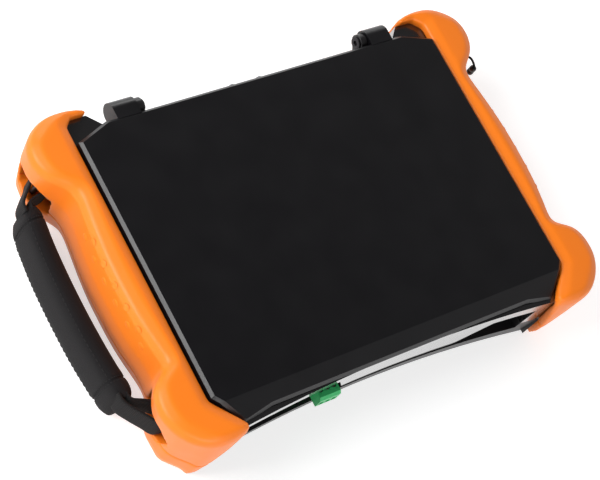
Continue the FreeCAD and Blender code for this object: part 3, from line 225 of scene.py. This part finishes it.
ORANGE = (1.0, 0.222, 0.012)
BLACK = (0.0036, 0.0032, 0.0042)
SHELL_BLACK = (0.0075, 0.007, 0.0078)

finish = {
    "bumper_orange": moulded("bumper_orange", ORANGE, 0.42, 1200.0, 0.05, specular=0.38, variation=0.04),
    "cover_black": moulded("cover_black", BLACK, 0.33, 2200.0, 0.05),
    "shell_black": moulded("shell_black", SHELL_BLACK, 0.2, 1800.0, 0.02, specular=1.0, coat=1.0),
    "base_black": moulded("base_black", SHELL_BLACK, 0.4, 1800.0, specular=0.4),
    "bracket_black": moulded("bracket_black", (0.012, 0.011, 0.012), 0.34, 1500.0, 0.08),
    "panel_black": moulded("panel_black", (0.011, 0.0105, 0.011), 0.5, 1500.0, 0.15),
    "connector_black": moulded("connector_black", (0.006, 0.006, 0.006), 0.25),
    "key_rubber": moulded("key_rubber", (0.05, 0.05, 0.053), 0.55, 1400.0, 0.12),
    "mat_rubber": moulded("mat_rubber", (0.09, 0.09, 0.095), 0.6),
    "key_mark": moulded("key_mark", (0.62, 0.62, 0.6), 0.5),
    "circuit_board": moulded("circuit_board", (0.006, 0.055, 0.018), 0.35, 500.0, 0.2),
    "battery": moulded("battery", (0.03, 0.05, 0.11), 0.3),
    "display": moulded("display", (0.004, 0.0042, 0.0045), 0.12, 300.0, 0.0),
    "terminal_green": moulded("terminal_green", (0.045, 0.52, 0.16), 0.36, 1400.0, 0.06),
    "bead": moulded("bead", (0.008, 0.008, 0.009), 0.3),
    "steel": metal("steel", (0.62, 0.62, 0.63), 0.3),
    "bar_steel": metal("bar_steel", (0.1, 0.1, 0.11), 0.4),
    "pin_black": metal("pin_black", (0.05, 0.046, 0.05), 0.42),
    "sheet_steel": metal("sheet_steel", (0.55, 0.55, 0.54), 0.35, (60.0, 700.0, 60.0)),
    "connector_metal": metal("connector_metal", (0.7, 0.69, 0.66), 0.28, (60.0, 60.0, 900.0)),
    "gold": metal("gold", (0.86, 0.6, 0.2), 0.25),
    "screen_glass": clear("screen_glass", (0.02, 0.022, 0.024)),
    "clear_lamp": clear("clear_lamp", (0.9, 0.92, 0.95)),
    "pad_fabric": woven("pad_fabric", (0.0112, 0.0098, 0.0108), 0.0006),
    "webbing": woven("webbing", (0.013, 0.012, 0.0125), 0.0013),
    "cord": woven("cord", (0.01, 0.0098, 0.01), 0.0006),
    "thread": woven("thread", (0.03, 0.028, 0.029), 0.0004),
}


# ------------------------------------------------------------------ carried-over nodes
WELD_GAP = 0.004 * MM                    # corners of the model nearer than this are one corner
SHARP = 19.0                             # edges that turn by more degrees than this are rounded
LARGE_BEVEL, SMALL_BEVEL = 0.35, 0.2     # widths in mm
RUBBER_VOXEL, RUBBER_ROUNDS = ((0.9, 6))


def dress(node, slot):
    """Gives a node one finish and smooth shading, and joins its facets."""
    made = nodes[node]
    made.data.materials.clear()
    made.data.materials.append(finish[slot])
    for face in made.data.polygons:
        face.use_smooth = True
        face.material_index = 0
    weld = made.modifiers.new("weld", "WELD")
    weld.merge_threshold = WELD_GAP
    return made


def crisp(node, slot, width):
    """Machined or moulded look: every sharp edge gets a small rounded bevel."""
    made = dress(node, slot)
    bevel = made.modifiers.new("bevel", "BEVEL")
    bevel.width = width * MM
    bevel.segments = 2
    bevel.limit_method = "ANGLE"
    bevel.angle_limit = math.radians(SHARP)
    normals = made.modifiers.new("normals", "WEIGHTED_NORMAL")
    normals.weight = 80
    normals.keep_sharp = True


def soft_rubber(node, slot):
    """Rubber moulding: the flat bands of the model melt into one smooth skin."""
    made = dress(node, slot)
    remesh = made.modifiers.new("remesh", "REMESH")
    remesh.mode = "VOXEL"
    remesh.voxel_size = RUBBER_VOXEL * MM
    remesh.use_smooth_shade = True
    smooth = made.modifiers.new("smooth", "SMOOTH")
    smooth.factor = 0.5
    smooth.iterations = RUBBER_ROUNDS


slot_of = {s["node"]: s["material_slot"] for s in frame["record"]["subparts"]}
OWN_FINISH = {"left_hinge_pin": "pin_black", "right_hinge_pin": "pin_black", "back_shell": "base_black"}
LARGE = ["back_shell", "front_shell", "screen_cover"]
SOFT = ["strap_grip_pad", "strap_webbing_rear", "strap_webbing_front", "lanyard_cord", "lanyard_bead"]
for name in nodes:
    if "bumper" in name:
        soft_rubber(name, slot_of[name])
    elif name not in SOFT:
        slot = OWN_FINISH.get(name, slot_of[name])
        crisp(name, slot, LARGE_BEVEL if name in LARGE else SMALL_BEVEL)


def piece(name, points, faces, slot, body, smooth=True):
    """Makes a mesh piece from points in millimetres and hands it to a body."""
    mesh = bpy.data.meshes.new(name)
    mesh.from_pydata([Vector(p) * MM for p in points], [], faces)
    mesh.validate()
    mesh.materials.append(finish[slot])
    for face in mesh.polygons:
        face.use_smooth = smooth
    made = bpy.data.objects.new(name, mesh)
    bpy.context.scene.collection.objects.link(made)
    tidy = bmesh.new()
    tidy.from_mesh(mesh)
    bmesh.ops.recalc_face_normals(tidy, faces=tidy.faces)
    tidy.to_mesh(mesh)
    tidy.free()
    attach(made, body)
    return made


def skin(rings):
    """Points and faces of a tube made of equal rings, capped with fans."""
    count = len(rings[0])
    points = [p for ring in rings for p in ring]
    faces = []
    for a in range(len(rings) - 1):
        for b in range(count):
            c = (b + 1) % count
            faces.append((a * count + b, a * count + c, (a + 1) * count + c, (a + 1) * count + b))
    for ring, first in ((rings[0], 0), (rings[-1], (len(rings) - 1) * count)):
        points.append(sum((Vector(p) for p in ring), Vector()) / count)
        hub = len(points) - 1
        faces += [(first + b, first + (b + 1) % count, hub) for b in range(count)]
    return points, faces


def smooth_line(stops, steps):
    """Catmull-Rom points through the stops, as vectors."""
    stops = [Vector(s) for s in stops]
    ends = [stops[0] * 2 - stops[1]] + stops + [stops[-1] * 2 - stops[-2]]
    line = []
    for a, b, c, d in zip(ends, ends[1:], ends[2:], ends[3:]):
        for i in range(steps):
            t = i / steps
            line.append(0.5 * ((2 * b) + (c - a) * t + (2 * a - 5 * b + 4 * c - d) * t ** 2
                               + (3 * b - a - 3 * c + d) * t ** 3))
    return line + [stops[-1]]


def ease(t):
    """Smooth rise from 0 to 1, level at both ends."""
    t = max(0.0, min(1.0, t))
    return t * t * (3 - 2 * t)


def superellipse(half_x, half_z, power, count):
    """Ring of (x, z) pairs, squarer the higher the power."""
    ring = []
    for i in range(count):
        angle = 2 * math.pi * i / count
        c, s = math.cos(angle), math.sin(angle)
        ring.append((half_x * math.copysign(abs(c) ** (2 / power), c),
                     half_z * math.copysign(abs(s) ** (2 / power), s)))
    return ring


def surface_hit(node, start, way):
    """Where a ray from start meets a node's finished surface, and the normal there, in millimetres."""
    seen = nodes[node].evaluated_get(bpy.context.evaluated_depsgraph_get())
    hit, place, normal, _ = seen.ray_cast(Vector(start) * MM, Vector(way).normalized())
    return (place / MM, normal) if hit else (None, None)


# ------------------------------------------------------------------ grip dots on the bumpers
DOT_PITCH = 11.5
DOT_ROWS = ((28.0, 40.2, 6, 0.15), (22.3, 46.9, 5, 0.8))    # first y, z, how many, fall of the ray
DOT_RADIUS = 2.1
DOT_HEIGHT = 0.4
DOT_SINK = 0.12                          # how deep a dome's rim lies in the rubber
AIM_X, AIM_BACK = 123.0, 30.0            # rays start this far back from a line inside the bumper


def grip_dots(side):
    """Two staggered rows of low domes along the waist of a bumper."""
    hand = "left" if side == LEFT else "right"
    spots = [(y - DOT_PITCH * i, z, fall) for y, z, many, fall in DOT_ROWS for i in range(many)]
    points, faces = [], []
    rings, count = 4, 14
    for y, z, fall in spots:
        aim, tilt = Vector((side * AIM_X, y, z)), Vector((-side, 0.0, -fall))
        place, normal = surface_hit(hand + "_bumper_upper", aim - tilt * AIM_BACK, tilt)
        if place is None:
            continue
        across = normal.cross(Vector((0, 0, 1))).normalized()
        upward = across.cross(normal).normalized()
        first = len(points)
        for k in range(rings + 1):
            angle = math.pi / 2 * k / rings
            r, h = DOT_RADIUS * math.cos(angle), DOT_HEIGHT * math.sin(angle) - DOT_SINK
            for i in range(count if k < rings else 1):
                turn = 2 * math.pi * i / count
                points.append(place + normal * h
                              + (across * math.cos(turn) + upward * math.sin(turn)) * r)
        for k in range(rings):
            for i in range(count):
                j = (i + 1) % count
                a, b = first + k * count + i, first + k * count + j
                if k < rings - 1:
                    faces.append((a, b, b + count, a + count))
                else:
                    faces.append((a, b, first + rings * count))
        faces.append(tuple(first + i for i in reversed(range(count))))
    piece(hand + "_grip_dots", points, faces, "bumper_orange", "case")


grip_dots(LEFT)
grip_dots(RIGHT)


# ------------------------------------------------------------------ hand strap
pad_low, pad_high = (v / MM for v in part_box("strap_grip_pad"))
PAD_LENGTH = pad_high.y - pad_low.y
PAD_MID_X = -134.6
PAD_HALF_X = 5.4
PAD_BOW = 3.2                            # how far its ends curve in towards the bumper
PAD_Z = (pad_low.z + pad_high.z) / 2
PAD_HALF_Z = (pad_high.z - pad_low.z) / 2
PAD_SEAMS = (10.0, 94.5)                 # distances from its front end
SEAM_PULL, SEAM_REACH = 0.09, 0.9        # share of the way to the middle line, and reach in mm
PUFF_VOXEL, PUFF_PRESSURE, PUFF_CAP = 2.0, 4.0, 0.6
CLOTH_FRAMES = 20


def pad_line(t):
    """Middle of the pad at t from its front end, 0, to its rear end, 1."""
    y = pad_low.y + PAD_LENGTH * t
    return Vector((PAD_MID_X + PAD_BOW * (2 * t - 1) ** 2, y, PAD_Z))


def pad_form():
    """The unswollen pad: rounded sections, lower and thinner near both ends."""
    rings = []
    stations, count = 44, 36
    for i in range(stations + 1):
        t = i / stations
        front, rear = t * PAD_LENGTH, (1 - t) * PAD_LENGTH
        round_end = min(ease(front / 7.0 + 0.25), ease(rear / 9.0 + 0.2))
        half_z = (PAD_HALF_Z - 0.9) * (0.84 + 0.16 * round_end)
        half_x = PAD_HALF_X * (0.6 + 0.4 * round_end)
        middle = pad_line(t)
        rings.append([middle + Vector((x, 0, z)) for x, z in superellipse(half_x, half_z, 3.2, count)])
    return skin(rings)


def puff(made):
    """Lets cloth pressure swell a closed form, holds how far it may move and keeps the result."""
    remesh = made.modifiers.new("remesh", "REMESH")
    remesh.mode = "VOXEL"
    remesh.voxel_size = PUFF_VOXEL * MM
    apply_modifiers(made)
    start = [v.co.copy() for v in made.data.vertices]
    cloth = made.modifiers.new("cloth", "CLOTH")
    cloth.settings.use_pressure = True
    cloth.settings.uniform_pressure_force = PUFF_PRESSURE
    cloth.settings.effector_weights.gravity = 0.0
    cloth.settings.quality = 5
    scene = bpy.context.scene
    for number in range(1, CLOTH_FRAMES + 1):
        scene.frame_set(number)
    apply_modifiers(made)
    for vertex, was in zip(made.data.vertices, start):
        move = vertex.co - was
        if move.length > PUFF_CAP * MM:
            vertex.co = was + move.normalized() * PUFF_CAP * MM
    scene.frame_set(1)


def apply_modifiers(made):
    """Freezes what the modifiers make of a piece into its own mesh."""
    view = bpy.context.evaluated_depsgraph_get()
    view.update()
    fresh = bpy.data.meshes.new_from_object(made.evaluated_get(view))
    old = made.data
    made.modifiers.clear()
    made.data = fresh
    for face in fresh.polygons:
        face.use_smooth = True
    bpy.data.meshes.remove(old)


def sew(made):
    """Draws the pad in along its two cross seams."""
    for vertex in made.data.vertices:
        y = vertex.co.y / MM - pad_low.y
        near = min(abs(y - seam) for seam in PAD_SEAMS)
        pull = SEAM_PULL * math.exp(-(near / SEAM_REACH) ** 2)
        middle = pad_line(max(0.0, min(1.0, y / PAD_LENGTH))) * MM
        vertex.co.x += (middle.x - vertex.co.x) * pull
        vertex.co.z += (middle.z - vertex.co.z) * pull


def strap_pad():
    points, faces = pad_form()
    made = piece("strap_pad", points, faces, "pad_fabric", "hand_strap")
    puff(made)
    smooth = made.modifiers.new("smooth", "SMOOTH")
    smooth.factor = 0.5
    smooth.iterations = 2
    finer = made.modifiers.new("finer", "SUBSURF")
    finer.levels = 1
    finer.render_levels = 1
    apply_modifiers(made)
    sew(made)
    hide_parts("strap_grip_pad")
    return made


THREAD_RADIUS = 0.2
THREAD_LIFT = 0.08                       # how far the middle of a stitch stands off the cloth


def touch(made, start, way):
    """The place of a stitch where a ray meets a piece, in millimetres, or None."""
    hit, place, normal, _ = made.ray_cast(Vector(start) * MM, Vector(way).normalized())
    return (place / MM + normal * THREAD_LIFT) if hit else None


def threads(name, runs, slot, body):
    """Every second gap between the stops of a run becomes one stitch."""
    points, faces = [], []
    for run in runs:
        for here, there in list(zip(run, run[1:]))[::2]:
            if here is None or there is None:
                continue
            way = (there - here).normalized()
            side = way.orthogonal().normalized()
            other = way.cross(side)
            rings = []
            for t, swell in ((-0.15, 0.3), (0.0, 1.0), (0.5, 1.15), (1.0, 1.0), (1.15, 0.3)):
                centre = here.lerp(there, t)
                rings.append([centre + (side * math.cos(math.pi * i / 3)
                                        + other * math.sin(math.pi * i / 3)) * THREAD_RADIUS * swell
                              for i in range(6)])
            more, sides = skin(rings)
            faces += [tuple(len(points) + i for i in side_face) for side_face in sides]
            points += more
    piece(name, points, faces, slot, body)


def strap_stitching(pad):
    """Two rows of stitches round the pad at each cross seam, and one along each long edge."""
    runs = []
    for seam in PAD_SEAMS:
        for step in (-0.9, 0.9):
            y = pad_low.y + seam + step
            middle = pad_line((y - pad_low.y) / PAD_LENGTH)
            run = []
            for i in range(73):
                angle = 2 * math.pi * i / 72
                way = Vector((math.cos(angle), 0.0, math.sin(angle)))
                start = middle + Vector((way.x * 12.0, 0.0, way.z * 24.0))
                run.append(touch(pad, start, middle - start))
            runs.append(run)
    first, last = PAD_SEAMS[0] + 2.5, PAD_SEAMS[1] - 3.0
    for z in (PAD_Z - PAD_HALF_Z * 0.8, PAD_Z + PAD_HALF_Z * 0.8):
        run = []
        for i in range(60):
            y = pad_low.y + first + i * (last - first) / 59
            run.append(touch(pad, (PAD_MID_X - 20.0, y, z), (1, 0, 0)))
        runs.append(run)
    threads("strap_stitching", runs, "thread", "hand_strap")


strap_stitching(strap_pad())


def ribbon(name, stops, low, high, thick, slot, body):
    """Flat webbing on edge along a plan line of (x, y) stops, with soft rounded edges."""
    line = smooth_line([(x, y, 0.0) for x, y in stops], 6)
    rings = []
    for i, here in enumerate(line):
        ahead = line[min(i + 1, len(line) - 1)] - line[max(i - 1, 0)]
        out = Vector((ahead.y, -ahead.x, 0)).normalized()
        rings.append([here + out * x + Vector((0, 0, (low + high) / 2 + z))
                      for x, z in superellipse(thick / 2, (high - low) / 2, 5.0, 20)])
    points, faces = skin(rings)
    return piece(name, points, faces, slot, body)


REAR_LOOP = [(-135.4, 53.0), (-134.6, 57.6), (-130.8, 62.0), (-126.6, 66.0), (-123.9, 69.1),
             (-120.6, 70.0), (-117.4, 69.5), (-116.05, 67.0), (-116.4, 63.0), (-120.6, 60.0),
             (-126.0, 58.8), (-131.0, 57.2), (-132.0, 53.0)]
FRONT_LOOP = [(-135.4, -43.0), (-134.9, -47.8), (-131.2, -53.4), (-127.2, -58.6), (-124.0, -62.9),
              (-120.6, -64.1), (-117.4, -63.5), (-116.05, -61.0), (-116.4, -57.0), (-120.6, -53.2),
              (-126.0, -50.2), (-131.0, -47.6), (-132.0, -43.0)]


def webbing():
    for name, stops, node in (("webbing_rear", REAR_LOOP, "strap_webbing_rear"),
                              ("webbing_front", FRONT_LOOP, "strap_webbing_front")):
        low, high = (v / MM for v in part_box(node))
        made = ribbon(name, stops, low.z, high.z, 1.5, "webbing", "hand_strap")
        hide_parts(node)


webbing()


# ------------------------------------------------------------------ lanyard
LANYARD = [(118.4, 66.9, 21.8), (119.2, 62.6, 23.6), (123.0, 61.6, 26.4), (127.2, 62.8, 28.4),
           (132.0, 62.6, 31.0), (136.2, 61.4, 33.2), (138.9, 57.9, 34.6), (138.0, 53.6, 33.4)]
CORD_RADIUS = 0.6
BEAD_PROFILE = [(0.7, 0.15), (1.35, 0.05), (1.8, -0.5), (1.9, -1.2), (1.9, -2.3), (1.6, -2.6),
                (1.6, -3.0), (1.9, -3.3), (1.9, -4.6), (1.75, -5.3), (1.2, -5.6)]


def turned(name, profile, place, slot, body):
    """Solid of revolution from (radius, height) stops about the upright line through place."""
    count = 24
    rings = [[Vector(place) + Vector((radius * math.cos(2 * math.pi * i / count),
                                      radius * math.sin(2 * math.pi * i / count), height))
              for i in range(count)] for radius, height in profile]
    points, faces = skin(rings)
    return piece(name, points, faces, slot, body)


def lanyard():
    """The cord from its slot to the bead on its end."""
    data = bpy.data.curves.new("lanyard", "CURVE")
    data.dimensions = "3D"
    line = data.splines.new("NURBS")
    line.points.add(len(LANYARD) - 1)
    for point, place in zip(line.points, LANYARD):
        point.co = (*[v * MM for v in place], 1.0)
    line.order_u = 3
    line.use_endpoint_u = True
    line.resolution_u = 16
    data.bevel_depth = CORD_RADIUS * MM
    data.bevel_resolution = 4
    data.use_fill_caps = True
    data.materials.append(finish["cord"])
    cord = bpy.data.objects.new("lanyard", data)
    bpy.context.scene.collection.objects.link(cord)
    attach(cord, "case")
    bead_top = Vector(LANYARD[-1]) - Vector((0, 0, CORD_RADIUS))
    bead = turned("lanyard_stop", BEAD_PROFILE, bead_top, "bead", "case")
    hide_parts("lanyard_cord")
    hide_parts("lanyard_bead")


lanyard()


# ------------------------------------------------------------------ marks on the keys
MARK_HALF = 2.4                          # half the width of a mark whose plan runs from -1 to 1
MARK_SINK, MARK_RISE = 0.05, 0.1


def arrow(turns):
    """Triangle that points up, then turned by quarters."""
    c, s = math.cos(turns * math.pi / 2), math.sin(turns * math.pi / 2)
    return [(x * c - y * s, x * s + y * c) for x, y in ((-0.8, -0.5), (0.8, -0.5), (0.0, 0.85))]


def bar(x0, x1, y0, y1):
    return [(x0, y0), (x1, y0), (x1, y1), (x0, y1)]


def arc(inner, outer, start, end):
    """Part of a flat ring, from one angle to another in degrees."""
    angles = [math.radians(start + (end - start) * i / 28) for i in range(29)]
    return ([(outer * math.cos(a), outer * math.sin(a)) for a in angles]
            + [(inner * math.cos(a), inner * math.sin(a)) for a in reversed(angles)])


MARKS = [[arc(0.62, 0.85, 125, 415), bar(-0.11, 0.11, 0.2, 0.95)],
         [bar(-0.75, 0.75, y, y + 0.2) for y in (-0.6, -0.1, 0.4)],
         [arrow(0)], [arrow(1)], [arrow(3)], [arrow(2)],
         [arc(0.5, 0.75, 0, 359.9)],
         [bar(-0.75, 0.75, -0.12, 0.12), bar(-0.12, 0.12, 0.12, 0.75), bar(-0.12, 0.12, -0.75, -0.12)],
         [bar(-0.75, 0.75, -0.12, 0.12)],
         [bar(-0.6, -0.2, -0.65, 0.65), bar(0.2, 0.6, -0.65, 0.65)],
         [bar(-0.6, 0.6, -0.6, 0.6)],
         [bar(-0.75, -0.5, -0.75, 0.75), bar(-0.5, 0.75, 0.5, 0.75), bar(-0.5, 0.75, -0.75, -0.5)]]


def key_marks():
    """One plain mark, moulded 0.1 mm proud, on top of each key."""
    for number, shapes in enumerate(MARKS, 1):
        key = f"key_{number:02d}"
        low, high = (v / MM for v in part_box(key))
        middle = (low + high) / 2
        points, faces = [], []
        for shape in shapes:
            first, count = len(points), len(shape)
            for z in (high.z - MARK_SINK, high.z + MARK_RISE):
                points += [(middle.x + x * MARK_HALF, middle.y + y * MARK_HALF, z) for x, y in shape]
            faces += [(first + i, first + (i + 1) % count, first + count + (i + 1) % count,
                       first + count + i) for i in range(count)]
            faces.append(tuple(first + i for i in reversed(range(count))))
            faces.append(tuple(first + count + i for i in range(count)))
        piece(key + "_mark", points, faces, "key_mark", key, smooth=False)


key_marks()


# ------------------------------------------------------------------ contacts in the network sockets
CONTACT_PITCH, CONTACT_RADIUS = 1.02, 0.17
CONTACT_STOPS = ((9.0, 0.1), (7.6, 0.25), (1.6, 3.4), (0.3, 3.6))   # out from the inner end, down


def contacts():
    """Eight sprung gold wires slanting down from the roof of each network socket."""
    for name, side in (("network_mouth_front", -1), ("network_mouth_rear", 1)):
        mouth = next(o["box_m"] for o in frame["record"]["physics"]["openings"] if o["name"] == name)
        low, high = (Vector(v) / MM for v in mouth)
        inner = high.y if side < 0 else low.y
        points, faces = [], []
        for i in range(8):
            x = (low.x + high.x) / 2 + (i - 3.5) * CONTACT_PITCH
            line = [Vector((x, inner + side * out, high.z - drop)) for out, drop in CONTACT_STOPS]
            rings = [[p + Vector((math.cos(math.pi * k / 3), 0, math.sin(math.pi * k / 3))) * CONTACT_RADIUS
                      for k in range(6)] for p in line]
            more, sides = skin(rings)
            faces += [tuple(len(points) + v for v in face) for face in sides]
            points += more
        piece(name.replace("mouth", "contacts"), points, faces, "gold", "case")


contacts()


# ------------------------------------------------------------------ stage
FLOOR_SHADE = (0.72, 0.72, 0.72)
FLOOR_GLOW = (0.6, 0.6, 0.6)             # seen directly, mirrored or through glass, but lights nothing
FLOOR_DROP = 0.0002
CENTRE = (0, 0, 0.03)


def stage():
    """White floor, dimmer in the light it throws back than it looks."""
    size = 6.0
    floor = bpy.data.meshes.new("floor")
    corners = [(-size, -size, 0), (size, -size, 0), (size, size, 0), (-size, size, 0)]
    floor.from_pydata(corners, [], [(0, 1, 2, 3)])
    ground = bpy.data.objects.new("floor", floor)
    bpy.context.scene.collection.objects.link(ground)
    ground.location.z = -FLOOR_DROP
    paint = Paint("floor_white")
    seen = paint.node("ShaderNodeLightPath", {}, {}, "Is Camera Ray")
    for kind in ("Is Glossy Ray", "Is Transmission Ray"):
        also = paint.node("ShaderNodeLightPath", {}, {}, kind)
        seen = paint.node("ShaderNodeMath", {"operation": "MAXIMUM"}, {0: seen, 1: also})
    shine = paint.mix(seen, (0.0, 0.0, 0.0), FLOOR_GLOW)
    ground.data.materials.append(paint.done(Base_Color=FLOOR_SHADE, Roughness=0.9,
                                            Specular_IOR_Level=0.1, Emission_Color=shine,
                                            Emission_Strength=1.0))


def lamp(name, place, width, height, power):
    """Rectangular lamp aimed at the middle of the object; sizes in metres, power in watts."""
    data = bpy.data.lights.new(name, "AREA")
    data.shape = "RECTANGLE"
    data.size = width
    data.size_y = height
    data.energy = power
    made = bpy.data.objects.new(name, data)
    bpy.context.scene.collection.objects.link(made)
    made.location = place
    made.rotation_euler = (Vector(CENTRE) - Vector(place)).to_track_quat("-Z", "Y").to_euler()


def world():
    """White all round the horizon and dimmer overhead, like a tent with its roof open."""
    sky = bpy.data.worlds.new("studio")
    bpy.context.scene.world = sky
    sky.use_nodes = True
    tree = sky.node_tree
    tree.nodes.clear()
    way = tree.nodes.new("ShaderNodeTexCoord")
    split = tree.nodes.new("ShaderNodeSeparateXYZ")
    level = tree.nodes.new("ShaderNodeMapRange")
    for end, value in (("From Min", 0.2), ("From Max", 0.7), ("To Min", 1.0), ("To Max", 0.09)):
        level.inputs[end].default_value = value
    shade = tree.nodes.new("ShaderNodeBackground")
    shade.inputs["Color"].default_value = (1.0, 1.0, 1.0, 1.0)
    out = tree.nodes.new("ShaderNodeOutputWorld")
    tree.links.new(way.outputs["Generated"], split.inputs["Vector"])
    tree.links.new(split.outputs["Z"], level.inputs["Value"])
    tree.links.new(level.outputs["Result"], shade.inputs["Strength"])
    tree.links.new(shade.outputs["Background"], out.inputs["Surface"])


stage()
world()
lamp("key", (-0.9, 0.35, 0.75), 0.7, 0.7, 12.0)
lamp("fill", (-0.35, -1.15, 0.6), 0.8, 0.5, 6.0)
lamp("rear", (0.3, 1.1, 0.6), 0.9, 0.4, 4.0)
bpy.context.scene.view_settings.view_transform = "Standard"
